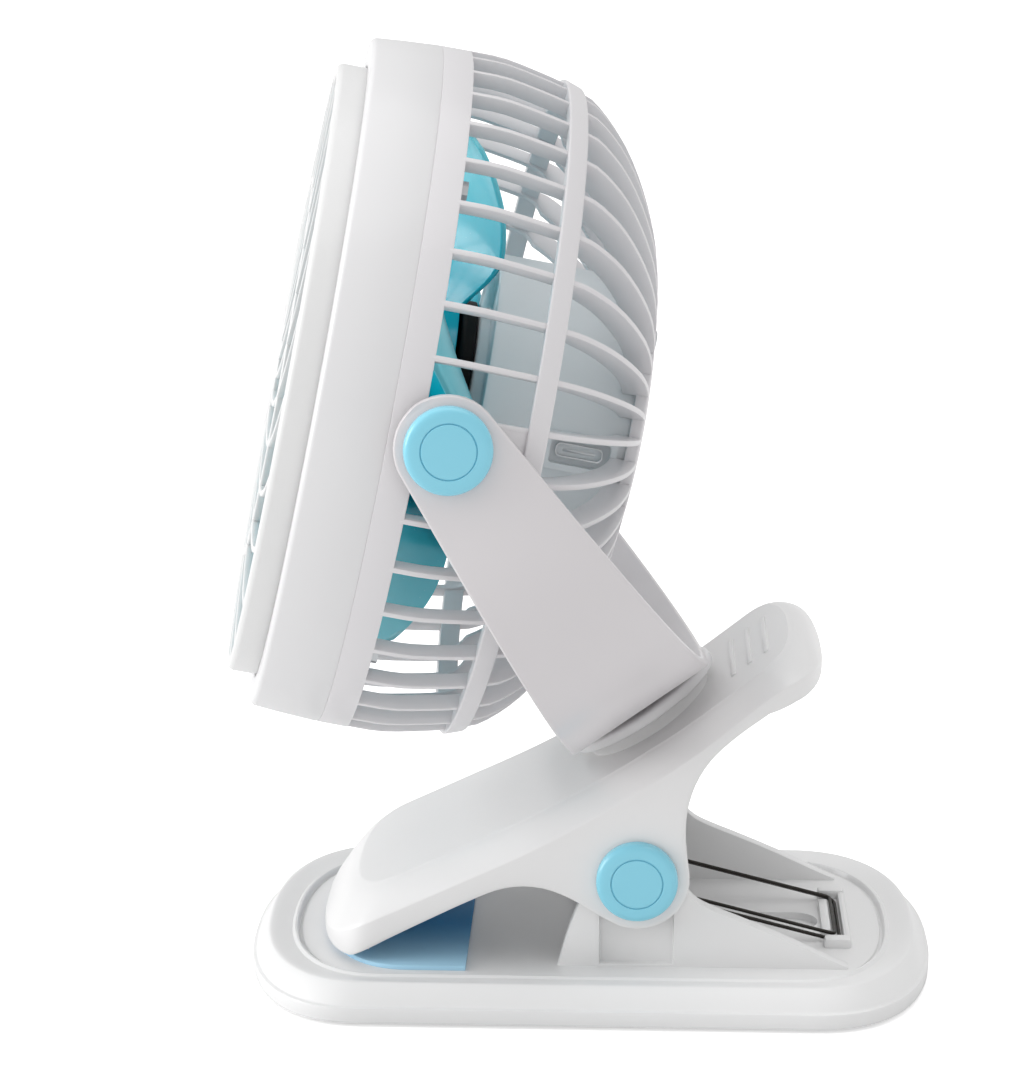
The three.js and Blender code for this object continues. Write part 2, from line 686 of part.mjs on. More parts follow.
function clipLever() {
  const deep = leverOpenBelow;
  const crownOutline = [...leverCrown, [42.4, 74.4], [leverRearY + 0.2, 75.6], [leverRearY + 0.2, deep],
    [leverFrontY, deep], [leverFrontY, 13]];
  const shouldered = acrossX(crownOutline, -leverHalfWidth + leverShoulderWidth,
    leverHalfWidth - leverShoulderWidth, {
      bevelEnabled: true, bevelThickness: leverShoulderWidth, bevelSize: leverShoulder,
      bevelOffset: -leverShoulder, bevelSegments: 2,
    });
  const sideOutline = [...leverCrown, ...handleTip, ...skirtEdge().toReversed(), ...noseFront.toReversed()];
  const silhouette = acrossX(sideOutline, -leverHalfWidth - 1, leverHalfWidth + 1);
  const outer = common(shouldered, silhouette, leverPlan(0));
  const innerHalf = leverHalfWidth - leverWall;
  const ceiling = crownDown(leverWall + 0.6);
  const hollowOutline = [
    [jawRearY, noseUnderside], ...ceiling.filter(([y]) => y > -42 && y < 36),
    [38.5, along(ceiling, 36) - 2], [38.5, deep], [jawRearY, deep],
  ];
  const hollow = common(acrossX(hollowOutline, -innerHalf, innerHalf), leverPlan(leverWall));
  const noseRelief = block(-innerHalf + 3, innerHalf - 3, jawFrontY, jawRearY + 0.1, deep, noseUnderside);
  const boss = onSwivelAxis(turnedZ(rod(bossTop, bossTop + 12, swivelBossRadius), 28));
  const bossBlend = onSwivelAxis(turnedZ([[bossTop + 1.5, 0], [bossTop + 1.5, swivelBossRadius],
    [bossTop + 5, swivelBossRadius + 4], [bossTop + 9, swivelBossRadius + 4], [bossTop + 9, 0]], 28));
  const bolt = onSwivelAxis(turnedZ(rod(bossTop - 5, nutTop + 30, swivelBoltRadius + seatGap), 16));
  const nutRoom = onSwivelAxis(turnedZ(rod(nutTop - seatGap, nutTop + 30, 7), 20));
  const pinHole = turnedX(rod(-leverHalfWidth - 1, leverHalfWidth + 1, clipPinRadius + seatGap), 24)
    .translate(0, hingeY, hingeZ);
  const solid = common(join(outer, common(join(boss, bossBlend), leverPlan(leverWall))),
    acrossX([[-70, leverPlanBottom], [-70, leverPlanTop], [70, leverPlanTop], [70, leverPlanBottom]],
      -leverHalfWidth, leverHalfWidth));
  const ceilingSlab = crownDown(leverWall + 3.4);
  const hollowUnderBoss = common(acrossX([
    [-10, deep], [-10, along(ceilingSlab, -10)], ...ceilingSlab.filter(([y]) => y > -10 && y < 31),
    [31, deep]], -innerHalf, innerHalf), leverPlan(leverWall));
  const keptBoss = cut(hollow, onSwivelAxis(turnedZ(rod(bossTop, bossTop + 40, swivelBossRadius), 28)));
  return cut(solid, keptBoss, hollowUnderBoss, noseRelief, bolt, nutRoom, pinHole);
}

function gripRib(index) {
  const y = gripRibY + gripRibStep * index;
  const z = along(leverCrown, y);
  const slope = Math.atan2(along(leverCrown, y + 1) - z, 1);
  return new THREE.BoxGeometry(gripRibLength, 1.6, 2 * gripRibHeight).rotateX(slope)
    .translate(0, y, z + 0.1);
}

function upperJawPad() {
  const top = noseUnderside - 0.2;
  return block(-upperPadHalfWidth, upperPadHalfWidth, jawFrontY + 1, jawRearY - 0.5,
    top - upperPadThickness, top);
}

// Domed cap, hollow behind; its axis is +X and its back is at X = 0.
function sideCap() {
  const hollow = capRadius - 1.6;
  return turnedX([
    [0, hollow], [0, capRadius], [capHeight - 1.5, capRadius], [capHeight - 0.5, capRadius - 0.45],
    [capHeight, capRadius - 1.6], [capHeight + 0.15, 0], [capHeight - 1.1, 0], [capHeight - 1.1, hollow],
    [0, hollow],
  ], 24);
}

// ---------------------------------------------------------------- yoke
// In the yoke's frame X is the tilt axis, Z points up the swivel axis and the pivot is the origin.
function yokeHalfWidth(depth) {
  return yokeTopHalfWidth + yokeTaper * Math.max(depth, 0);
}

function yokePoint(t, halfWidth, depth) {
  const power = 2 / yokeRoundness;
  const c = Math.cos(t);
  const x = Math.sign(c) * halfWidth * Math.abs(c) ** power;
  return [x, yokeStraight + (depth - yokeStraight) * Math.sin(t) ** power];
}

function yokeBody() {
  const sections = [];
  const addSection = ([xi, di], [xo, dout]) => {
    const [wi, wo] = [yokeHalfWidth(di), yokeHalfWidth(dout)];
    sections.push([
      new THREE.Vector3(xi, -wi, -di), new THREE.Vector3(xo, -wo, -dout),
      new THREE.Vector3(xo, wo, -dout), new THREE.Vector3(xi, wi, -di),
    ]);
  };
  const outerHalfWidth = yokeInnerHalfWidth + yokeArmThickness;
  addSection([yokeInnerHalfWidth, 0], [outerHalfWidth, 0]);
  const steps = 20;
  for (let i = 0; i <= steps; i += 1) {
    const t = Math.PI * (i / steps);
    addSection(yokePoint(t, yokeInnerHalfWidth, yokeInnerDepth),
      yokePoint(t, outerHalfWidth, yokeOuterDepth));
  }
  addSection([-yokeInnerHalfWidth, 0], [-outerHalfWidth, 0]);
  const strip = ringStack(sections);
  const heads = [-1, 1].map((side) => {
    const [near, far] = [side * yokeInnerHalfWidth, side * outerHalfWidth];
    return turnedX(rod(Math.min(near, far), Math.max(near, far), yokeTopHalfWidth), 32);
  });
  const screwReach = outerHalfWidth + 1;
  const screwHole = turnedX(rod(-screwReach, screwReach, tiltScrewRadius + tiltClearance), 24);
  const floorPad = turnedZ(rod(-yokeOuterDepth, -yokeInnerDepth - 0.1, 10), 20);
  const boltHole = turnedZ(rod(-yokeOuterDepth - 5, -yokeInnerDepth + 5, swivelBoltRadius + seatGap), 24);
  const boltSeat = turnedZ(rod(-boltHeadBottom - seatGap, -yokeInnerDepth + 5, 5), 24);
  return cut(join(strip, ...heads, floorPad), screwHole, boltHole, boltSeat);
}

// ---------------------------------------------------------------- head
// Outline of the cage: distance behind the seam and radius.
const cageOutline = [
  [0, seamRadius], [cageBandEnd, cageBandRadius], [13.2, 72.3], [19.6, 71.2], [26, 69.8], [30.2, 68.4],
  [34, 66.8], [40, 61.4], [45.2, 54.2], [49.6, 45.8], [52.2, 38], [53.4, rearDiscRadius],
];
const rearFace = [[53.4, rearDiscRadius], [55.8, 6]];
const bladeRear = [
  [20, 13], [24, 15.5], [28, 18.2], [33, 20.2], [42, 18.4], [50, 14.5], [56, 10], [bladeTipRadius, 6],
];

const fromSeam = (geometry) => geometry.translate(0, -seamToPivot, 0);

function drum() {
  const shell = turnedY([
    [drumFront, mouthRadius], [drumFront, drumFrontRadius - 0.9], [drumFront + 0.9, drumFrontRadius],
    [-seatGap / 2, seamRadius], [-seatGap / 2, seamRadius - drumWall],
    [drumFront + 2.4, drumFrontRadius - drumWall], [drumFront + 1.4, mouthRadius], [drumFront, mouthRadius],
  ]);
  const posts = screwPostAngles.map((angle) =>
    onPost(angle, drumFront + 2.2, -seatGap / 2, screwPostRadius));
  const bores = screwPostAngles.map((angle) => onPost(angle, drumFront + 4, 1, screwRadius + seatGap));
  return cut(join(shell, ...posts), ...bores);
}

const screwPostRadius = 2.8;
const screwPostOffset = seamRadius - drumWall - 1.9;
const screwPostAngles = [5, 16, 26, 37].map((gap) => gap * 360 / ribCount);

// A rod along one of the four screws that join drum and cage.
function onPost(angle, from, to, radius) {
  return turnedY(rod(from, to, radius), 10).translate(screwPostOffset, 0, 0).rotateY(-radians(angle));
}

function rearCage() {
  const outer = (at) => [at, along(cageOutline, at)];
  const inner = (at, depth) => {
    const slope = (along(cageOutline, at + 1) - along(cageOutline, at - 1)) / 2;
    const length = Math.hypot(1, slope);
    return [at + depth * slope / length, along(cageOutline, at) - depth / length];
  };
  const half = barThickness / 2;
  const station = (at, depth) => ({ outer: outer(at), inner: inner(at, depth), half });
  const hoopEdge = (at) => ({ ...station(at, barDepth), outer: [at, along(cageOutline, at) + hoopProud] });
  const stations = [
    station(seatGap / 2, drumWall), station(cageBandEnd, drumWall), hoopEdge(hoopStart), hoopEdge(hoopEnd),
    station(38, finDepth), station(46, finDepth), station(50.5, finDepth),
    ...rearFace.map((edge) => ({
      outer: edge, inner: [rearDiscInner, edge[1]], half: half * edge[1] / rearDiscRadius,
    })),
  ];
  const beside = [ribCount / 2 - 1, ribCount - 1];
  const bandCell = 0;
  const slotCell = 1;
  const hoopCell = 2;
  const discCell = stations.length - rearFace.length;
  const shell = lattice(stations, ribCount, (i, k, isRib) => isRib || i === bandCell
    || (i === slotCell && beside.includes(k)) || i === hoopCell || i >= discCell);
  const pads = [-1, 1].map((side) => {
    const [near, far] = [side * 61.5, side * padFace];
    return turnedX(rod(Math.min(near, far), Math.max(near, far), 4.4), 12).translate(0, seamToPivot, 0);
  });
  const flanges = [-1, 1].map((side) => {
    const [near, far] = [side * (padFace - 2.6), side * padFace];
    return turnedX(rod(Math.min(near, far), Math.max(near, far), 8.6), 24).translate(0, seamToPivot, 0);
  });
  const posts = screwPostAngles.map((angle) => onPost(angle, seatGap / 2, cageBandEnd, screwPostRadius));
  const postBores = screwPostAngles.map((angle) =>
    onPost(angle, -1, cageBandEnd + 1, screwRadius + seatGap));
  const whole = join(shell, ...pads, ...flanges, ...posts);
  const screwBores = [-1, 1].map((side) => {
    const [near, far] = [side * 63, side * (padFace + 1)];
    return turnedX(rod(Math.min(near, far), Math.max(near, far), tiltScrewRadius + tiltClearance), 12)
      .translate(0, seamToPivot, 0);
  });
  const doorHole = turnedDoor(0);
  const buttonHole = turnedY(rod(rearDiscInner - 1, 60, buttonRadius + seatGap), 20)
    .translate(buttonOffset, 0, 0);
  const lightHole = turnedY(rod(rearDiscInner - 1, 60, lightRadius + seatGap), 8)
    .translate(buttonOffset, 0, lightOffset);
  const screwHoles = housingScrewPlaces().map(([, x, z]) => turnedY([
    [rearDiscInner - 1, 0], [rearDiscInner - 1, screwRadius + seatGap],
    [housingScrewSeat, screwRadius + seatGap], [housingScrewSeat, screwHeadRadius + seatGap],
    [60, screwHeadRadius + seatGap], [60, 0]], 8).translate(x, 0, z));
  return cut(whole, ...screwBores, ...postBores, doorHole, buttonHole, lightHole, ...screwHoles);
}

const padFace = cageBandRadius;
const housingScrewSeat = rearDiscInner + 0.8;

const doorHalfWidth = 10.2;
const doorHalfHeight = 26.5;

// Prism of the battery door, drawn in by a gap.
function turnedDoor(gap) {
  const [hx, hz] = [doorHalfWidth - gap, doorHalfHeight - gap];
  const shape = new THREE.Shape();
  const r = 3;
  shape.moveTo(-hx + r, -hz);
  shape.lineTo(hx - r, -hz);
  shape.absarc(hx - r, -hz + r, r, -Math.PI / 2, 0, false);
  shape.absarc(hx - r, hz - r, r, 0, Math.PI / 2, false);
  shape.absarc(-hx + r, hz - r, r, Math.PI / 2, Math.PI, false);
  shape.absarc(-hx + r, -hz + r, r, Math.PI, 1.5 * Math.PI, false);
  return extrude(shape, -60, -rearDiscInner + 1, { curveSegments: 4 }).rotateX(Math.PI / 2);
}

function batteryDoor() {
  const disc = turnedY([[rearDiscInner, 0], [rearDiscInner, rearDiscRadius], ...rearFace,
    [rearFace.at(-1)[0], 0]], ribCount);
  return common(disc, turnedDoor(seatGap));
}

function housingScrewPlaces() {
  return [['upper_left', -17, 21.5], ['upper_right', 17, 21.5], ['lower_left', -17, -21.5],
    ['lower_right', 17, -21.5]];
}

// Front grille: a hub ring, curved spokes, one hoop and a deep rim that slides into the drum.
function frontGuard() {
  const dome = (r) => guardFront - guardDomeHeight * (1 - (r / guardRimRadius) ** 2);
  const half = guardSpokeThickness / 2;
  const sweep = (r) => radians(guardSweep) * ((r - badgeRadius) / (guardRimRadius - badgeRadius)) ** 1.3;
  const station = (r) => ({
    outer: [dome(r), r], inner: [dome(r) + guardSpokeDepth, r], half, turn: sweep(Math.max(r, badgeRadius)),
  });
  const rimRear = drumFront + 4;
  const rimTurn = sweep(guardRimRadius - 2.4);
  const stations = [
    station(badgeRadius - 4), station(badgeRadius + 1), station(guardHoopRadius - 0.7),
    station(guardHoopRadius + 0.7), station(guardRimRadius - 2.4),
    { outer: [guardFront, guardRimRadius - 0.6], inner: [rimRear, guardRimRadius - 2], half, turn: rimTurn },
    { outer: [guardFront + 0.8, guardRimRadius], inner: [rimRear, guardRimRadius], half, turn: rimTurn },
  ];
  const ringCells = [0, 2, 4, 5];
  return lattice(stations, guardSpokes, (i, k, isRib) => isRib || ringCells.includes(i));
}

function motorHousing() {
  const [outer, inner] = [housingRadius, housingRadius - housingWall];
  const rear = rearDiscInner - seatGap;
  const canRoom = motorRadius + seatGap;
  const sleeveEnd = housingStepStart + motorLength - 4;
  const shell = turnedY([
    [housingStepStart, canRoom], [housingStepStart, housingStepRadius], [housingStart, housingStepRadius],
    [housingStart, outer - 1], [housingStart + 1, outer], [rear, outer], [rear, inner],
    [housingStart + housingWall, inner], [housingStart + housingWall, canRoom + housingWall],
    [sleeveEnd, canRoom + housingWall], [sleeveEnd, canRoom], [housingStepStart, canRoom],
  ], 28);
  const posts = housingScrewPlaces().map(([, x, z]) =>
    turnedY(tube(housingStart + 0.6, rear, screwRadius + seatGap, 2.6), 8).translate(x, 0, z));
  const port = block(housingRadius - 6, housingRadius + 2, portCentre - portLength / 2 - seatGap,
    portCentre + portLength / 2 + seatGap, -portHeight / 2 - seatGap, portHeight / 2 + seatGap);
  return cut(join(shell, ...posts), port.translate(0, 0, -portDrop));
}

function motorMount() {
  return turnedY([
    [mountStart, 3], [mountStart, mountRadius - 1], [mountStart + 1, mountRadius],
    [housingStepStart - seatGap, mountRadius], [housingStepStart - seatGap, 3], [mountStart, 3],
  ], 30);
}

// Upright board beside the cell, with the switch behind the button and the light on its rear edge.
function circuitBoard() {
  const [front, rear] = [33.6, 47.4];
  const outer = boardInner + boardThickness;
  const board = block(boardInner, outer, front, rear, -boardHalfHeight, boardHalfHeight);
  const switchBody = block(boardInner - 2.5, outer - 0.2, rear - 3, rear + 1.5, -3, 3);
  const lightBody = block(boardInner - 1.2, outer - 0.2, rear - 2, rear + 2,
    lightOffset - 1, lightOffset + 1);
  return join(board, switchBody, lightBody);
}

function usbSocket() {
  const [x0, x1] = [boardInner + boardThickness + 0.1, housingRadius - 0.6];
  const shell = block(x0, x1, portCentre - portLength / 2, portCentre + portLength / 2,
    -portHeight / 2, portHeight / 2);
  const mouth = block(x0 + 1, x1 + 1, portCentre - portLength / 2 + 1.2, portCentre + portLength / 2 - 1.2,
    -portHeight / 2 + 1.1, portHeight / 2 - 1.1);
  const tongue = block(x0 + 0.5, x1 - 1.2, portCentre - 3.2, portCentre + 3.2, -0.4, 0.4);
  return join(cut(shell, mouth), tongue).translate(0, 0, -portDrop);
}

// One blade: a twisted sheet whose rear edge follows the outline in `bladeRear`.
function impellerBlade(index) {
  const radii = [hubRadius - 0.8, 28, 42, 54, bladeTipRadius];
  const steps = 4;
  const start = (360 / bladeCount) * index;
  const rowAt = (side) => radii.map((r) => Array.from({ length: steps + 1 }, (_, j) => {
    const t = j / steps;
    const rear = along(bladeRear, r);
    const outwards = Math.max(0, (r - hubRadius) / (bladeTipRadius - hubRadius));
    const front = hubFront + 2.5 - 3 * outwards;
    const lead = 10 * outwards ** 1.5;
    const angle = radians(start + lead + bladeSpan * t);
    const s = rear + (front - rear) * (t ** 0.9) + side * bladeThickness / 2;
    return new THREE.Vector3(r * Math.cos(angle), s, r * Math.sin(angle));
  }));
  return thickSheet(rowAt(-1), rowAt(1));
}

function impeller() {
  const wall = 1.6;
  const cup = turnedY([
    [hubFront, 7.6], [hubFront, hubRadius - 3], [hubFront + 1, hubRadius - 0.9], [hubFront + 3, hubRadius],
    [hubRear, hubRadius], [hubRear, hubRadius - wall], [hubFront + wall + 1, hubRadius - wall],
    [hubFront + wall, hubRadius - 4], [hubFront + wall, 3.6], [hubRear - 2, 3.6],
    [hubRear - 2, shaftRadius + 0.1], [hubFront + 0.8, shaftRadius + 0.1], [hubFront + 0.8, 7.6],
    [hubFront, 7.6],
  ], 20);
  const bladeParts = Array.from({ length: bladeCount }, (_, k) => impellerBlade(k));
  const core = turnedY(rod(hubFront - 10, hubRear + 10, hubRadius - wall / 2), 20);
  return join(cup, ...bladeParts.map((body) => cut(body, core)));
}

// ---------------------------------------------------------------- assembly
const fan = new THREE.Group();
const base = new THREE.Group();
const lever = new THREE.Group();
fan.add(base, lever);

named(base, 'base_shell', baseShell(), white);
named(base, 'base_bottom_cover', bottomCover(), white);
for (const [place, x, y] of footPlaces()) {
  named(base, `foot_${place}`, turnedZ(rod(0, footThickness, footRadius), 16), darkRubber)
    .position.set(x, y, 0);
}
const baseScrewLength = deckHeight - shellWall - shellFoot - 0.6;
for (const [place, x, y] of baseScrewPlaces()) {
  named(base, `base_screw_${place}`, screw(baseScrewLength), zinc).position.set(x, y, coverBottom);
}
named(base, 'lower_jaw_pad', lowerJawPad(), padBlue);
named(base, 'clip_pin', turnedX(rod(-leverHalfWidth, leverHalfWidth, clipPinRadius), 24), steel)
  .position.set(0, hingeY, hingeZ);
named(base, 'clip_spring', wire(springPath(), springWire / 2), springSteel);
console.log('least gap of the clip spring to itself, mm:',
  leastSelfGap(springHalf(), springWire, 16).toFixed(2));

named(lever, 'clip_lever', join(clipLever(),
  ...Array.from({ length: gripRibCount }, (_, k) => gripRib(k))), white);
named(lever, 'upper_jaw_pad', upperJawPad(), padBlue);
const clipCapFace = leverHalfWidth + 0.2;
named(lever, 'clip_cap_right', sideCap(), blue).position.set(clipCapFace, hingeY, hingeZ);
const leftClipCap = named(lever, 'clip_cap_left', sideCap(), blue);
leftClipCap.position.set(-clipCapFace, hingeY, hingeZ);
leftClipCap.rotation.z = Math.PI;

const swivelBase = new THREE.Group();
swivelBase.position.set(0, pivotY, pivotZ);
swivelBase.rotation.x = radians(swivelLean);
fan.add(swivelBase);

named(swivelBase, 'swivel_nut', cut(turnedZ(rod(-nutTop - 3.2, -nutTop, 5), 6),
  turnedZ(rod(-nutTop - 4, -nutTop + 1, swivelBoltRadius + seatGap), 16)), zinc);
named(swivelBase, 'swivel_bolt', turnedZ([
  [-boltHeadTop, 0], [-boltHeadTop, 4.6], [-boltHeadBottom, 4.6], [-boltHeadBottom, swivelBoltRadius],
  [-nutTop - 4, swivelBoltRadius], [-nutTop - 4, 0]], 24), zinc);

const swivel = new THREE.Group();
swivel.rotation.z = radians(swivelAtRest);
swivelBase.add(swivel);
named(swivel, 'swivel_disc', turnedZ([
  [-discTop, swivelBoltRadius + seatGap], [-discTop, footDiscRadius - 0.6],
  [-discTop - 0.6, footDiscRadius], [-discTop - footDiscThickness, footDiscRadius],
  [-discTop - footDiscThickness, swivelBoltRadius + seatGap], [-discTop, swivelBoltRadius + seatGap],
], 30), white);
named(swivel, 'yoke', yokeBody(), white);

const armFace = yokeInnerHalfWidth + yokeArmThickness;
const washerSeat = (yokeInnerHalfWidth + padFace - washerThickness) / 2;
for (const [place, turn] of [['right', 0], ['left', Math.PI]]) {
  const side = new THREE.Group();
  side.rotation.z = turn;
  swivel.add(side);
  named(side, `yoke_cap_${place}`, sideCap(), blue).position.x = armFace + 0.1;
  named(side, `tilt_washer_${place}`, turnedX(tube(washerSeat, washerSeat + washerThickness,
    tiltScrewRadius + tiltClearance, washerRadius), 16), black);
  named(side, `tilt_screw_${place}`, turnedX([
    [armFace + 1.6, 0], [armFace + 1.6, tiltScrewHeadRadius], [armFace + 0.1, tiltScrewHeadRadius],
    [armFace + 0.1, tiltScrewRadius], [tiltScrewTip, tiltScrewRadius], [tiltScrewTip, 0]], 12), zinc);
}

const head = new THREE.Group();
head.rotation.x = -radians(headTilt + swivelLean);
swivel.add(head);

named(head, 'front_ring', fromSeam(drum()), white);
named(head, 'rear_cage', fromSeam(rearCage()), white);
named(head, 'front_guard', fromSeam(frontGuard()), guardWhite);
const badgeBack = guardFront - guardDomeHeight - seatGap;
named(head, 'guard_badge', fromSeam(turnedY([
  [badgeBack - 1.3, 0], [badgeBack - 1.2, badgeRadius - 5], [badgeBack - 0.6, badgeRadius - 1],
  [badgeBack, badgeRadius - 1], [badgeBack, 0]], 24)), white);
for (const [k, angle] of screwPostAngles.entries()) {
  const place = ['upper_right', 'upper_left', 'lower_left', 'lower_right'][k];
  const body = screw(cageBandEnd + 8).rotateX(Math.PI / 2).translate(screwPostOffset, 0, 0)
    .rotateY(-radians(angle));
  body.translate(0, cageBandEnd + screwHeadHeight + 0.1, 0);
  named(head, `cage_screw_${place}`, fromSeam(body), zinc);
}
named(head, 'motor_housing', fromSeam(motorHousing()), white);
named(head, 'motor_mount', fromSeam(motorMount()), black);
named(head, 'motor_can', fromSeam(turnedY([
  [housingStepStart, 0], [housingStepStart, motorRadius - 0.6], [housingStepStart + 0.6, motorRadius],
  [housingStepStart + motorLength, motorRadius], [housingStepStart + motorLength, 0]], 24)), steel);
const cellCentre = rearDiscInner - 0.25 - cellRadius;
named(head, 'battery_cell', fromSeam(turnedX([
  [-cellLength / 2, 0], [-cellLength / 2, cellRadius - 0.6], [-cellLength / 2 + 0.6, cellRadius],
  [cellLength / 2 - 1, cellRadius], [cellLength / 2 - 0.8, cellRadius - 0.8], [cellLength / 2 - 0.8, 3],
  [cellLength / 2, 3], [cellLength / 2, 0]], 20)
  .rotateY(-Math.PI / 2).translate(0, cellCentre, 0)), cellWrap);
named(head, 'battery_door', fromSeam(batteryDoor()), white);
named(head, 'circuit_board', fromSeam(circuitBoard()), boardGreen);
named(head, 'usb_socket', fromSeam(usbSocket()), zinc);
named(head, 'status_light', fromSeam(turnedY(rod(buttonFront, buttonTop, lightRadius), 8)
  .translate(buttonOffset, 0, lightOffset)), clearWindow);
for (const [place, x, z] of housingScrewPlaces()) {
  const body = screw(12).rotateX(Math.PI / 2).translate(x, housingScrewSeat + 0.2 + screwHeadHeight, z);
  named(head, `housing_screw_${place}`, fromSeam(body), zinc);
}
named(head, 'impeller', fromSeam(impeller()), blade);
const shaftEnd = housingStepStart - seatGap;
named(head, 'motor_shaft', fromSeam(turnedY(rod(hubFront + 0.9, shaftEnd, shaftRadius), 16)), steel);
named(head, 'hub_cap', fromSeam(turnedY([
  [hubFront - 1.6, 0], [hubFront - 1.4, 4], [hubFront - 0.6, 6.6], [hubFront + 0.5, 7.2],
  [hubFront + 0.5, 0]], 20)), blade);
named(head, 'power_button', fromSeam(turnedY([
  [buttonFront, 0], [buttonFront, buttonRadius], [buttonTop - buttonEdge, buttonRadius],
  [buttonTop, buttonRadius - buttonEdge], [buttonTop, 0]], 20).translate(buttonOffset, 0, 0)), blue);

// The origin is moved to the middle of the whole fan's bounding box, at table height.
const box = new THREE.Box3().setFromObject(fan, true);
fan.position.y = -(box.min.y + box.max.y) / 2;
console.log('the middle of the base lies at Y, mm:', fan.position.y.toFixed(4));

export default fan;
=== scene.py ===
from math import acos, atan2, cos, hypot, pi, radians, sin

import bmesh
import bpy
from mathutils import Matrix, Vector


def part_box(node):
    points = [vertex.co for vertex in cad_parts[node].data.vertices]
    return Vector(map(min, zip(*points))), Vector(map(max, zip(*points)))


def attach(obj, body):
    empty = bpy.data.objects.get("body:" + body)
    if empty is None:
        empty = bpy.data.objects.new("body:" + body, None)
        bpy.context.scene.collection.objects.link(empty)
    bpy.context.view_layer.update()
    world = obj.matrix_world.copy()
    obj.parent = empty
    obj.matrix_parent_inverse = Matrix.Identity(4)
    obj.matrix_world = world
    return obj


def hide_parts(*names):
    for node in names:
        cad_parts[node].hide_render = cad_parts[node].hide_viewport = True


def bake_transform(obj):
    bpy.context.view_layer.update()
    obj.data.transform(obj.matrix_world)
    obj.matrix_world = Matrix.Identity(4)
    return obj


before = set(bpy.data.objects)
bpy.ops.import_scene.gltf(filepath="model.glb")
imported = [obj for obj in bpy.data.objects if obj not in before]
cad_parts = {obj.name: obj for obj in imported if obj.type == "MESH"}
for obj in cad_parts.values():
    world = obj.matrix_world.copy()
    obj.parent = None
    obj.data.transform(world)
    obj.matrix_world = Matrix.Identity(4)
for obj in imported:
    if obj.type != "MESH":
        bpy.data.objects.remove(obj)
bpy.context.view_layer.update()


def at(x, y, z):
    return Matrix.Translation((x, y, z))


def about(axis, degrees):
    return Matrix.Rotation(radians(degrees), 4, axis)


def placed(name, data):
    item = bpy.data.objects.new(name, data)
    bpy.context.scene.collection.objects.link(item)
    return item


def facing(direction):
    # rotation of a camera or a lamp that looks this way
    return Vector(direction).to_track_quat("-Z", "Y").to_euler()


# Pieces are drawn in millimetres: the base's and lever's from the middle of the foot, the yoke's
# from the point that the head tilts about, and the head's from the middle of its seam.
millimetre = 0.001
turret = {"pivotY": -34.75, "pivotZ": 125.25, "lean": 34, "turnedBy": 7.4, "lookUp": 45.2,
          "seamToPivot": 11.5}
shellLow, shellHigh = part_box("base_shell")
basePlace = at(0, (shellLow.y + shellHigh.y) / 2, 0) @ Matrix.Scale(millimetre, 4)
yokePlace = (basePlace @ at(0, turret["pivotY"], turret["pivotZ"]) @ about("X", turret["lean"])
             @ about("Z", turret["turnedBy"]))
headPlace = yokePlace @ about("X", -turret["lookUp"]) @ at(0, -turret["seamToPivot"], 0)
bodyPlaces = {"base": basePlace, "lever": basePlace, "yoke": yokePlace, "head": headPlace,
              "rotor": headPlace, "button": headPlace}

view = {"place": (0.69049, 0.012418, 0.27394), "towards": (-0.96684, -0.03760, -0.25258),
        "lens": 111.18, "sensor": 36}
camera = placed("photoCamera", bpy.data.cameras.new("photoCamera"))
camera.data.lens = view["lens"]
camera.data.sensor_width = view["sensor"]
camera.location = view["place"]
camera.rotation_euler = facing(view["towards"])
bpy.context.scene.camera = camera
print("camera placed")


def feed(tree, node, inputs):
    # each input gets a value, or the socket that it comes from
    for label, value in inputs.items():
        if isinstance(value, bpy.types.NodeSocket):
            tree.links.new(value, node.inputs[label])
        else:
            node.inputs[label].default_value = value


def addNode(tree, kind, inputs=None, **settings):
    node = tree.nodes.new(kind)
    for name, value in settings.items():
        setattr(node, name, value)
    feed(tree, node, inputs or {})
    return node


def objectPoint(tree):
    return addNode(tree, "ShaderNodeTexCoord").outputs["Object"]


def mixedColor(tree, share, first, second):
    # inputs 6 and 7 and output 2 are the colour sockets of a Mix node
    return addNode(tree, "ShaderNodeMix", {0: share, 6: first, 7: second}, data_type="RGBA").outputs[2]


def mouldedGroup():
    # slow drift of tone, fine speckle and the faint ripple that a moulded skin has
    group = bpy.data.node_groups.new("mouldedSkin", "ShaderNodeTree")
    sockets = {"INPUT": {"Tone": "Color", "Shade": "Color", "Patch Scale": "Float",
                         "Grain Scale": "Float", "Gloss Low": "Float", "Gloss High": "Float"},
               "OUTPUT": {"Color": "Color", "Roughness": "Float", "Height": "Float"}}
    for direction, labels in sockets.items():
        for label, kind in labels.items():
            group.interface.new_socket(name=label, in_out=direction, socket_type="NodeSocket" + kind)
    given = addNode(group, "NodeGroupInput").outputs
    where = objectPoint(group)
    patches = addNode(group, "ShaderNodeTexNoise",
                      {"Vector": where, "Scale": given["Patch Scale"], "Detail": 3}).outputs["Fac"]
    grain = addNode(group, "ShaderNodeTexNoise",
                    {"Vector": where, "Scale": given["Grain Scale"], "Detail": 2}).outputs["Fac"]
    gloss = addNode(group, "ShaderNodeMapRange",
                    {"Value": grain, "To Min": given["Gloss Low"], "To Max": given["Gloss High"]})
    addNode(group, "NodeGroupOutput",
            {"Color": mixedColor(group, patches, given["Tone"], given["Shade"]),
             "Roughness": gloss.outputs["Result"], "Height": grain})
    return group


mouldedSkin = mouldedGroup()


def newMaterial(name):
    material = bpy.data.materials.new(name)
    material.use_nodes = True
    return material, material.node_tree, material.node_tree.nodes["Principled BSDF"]


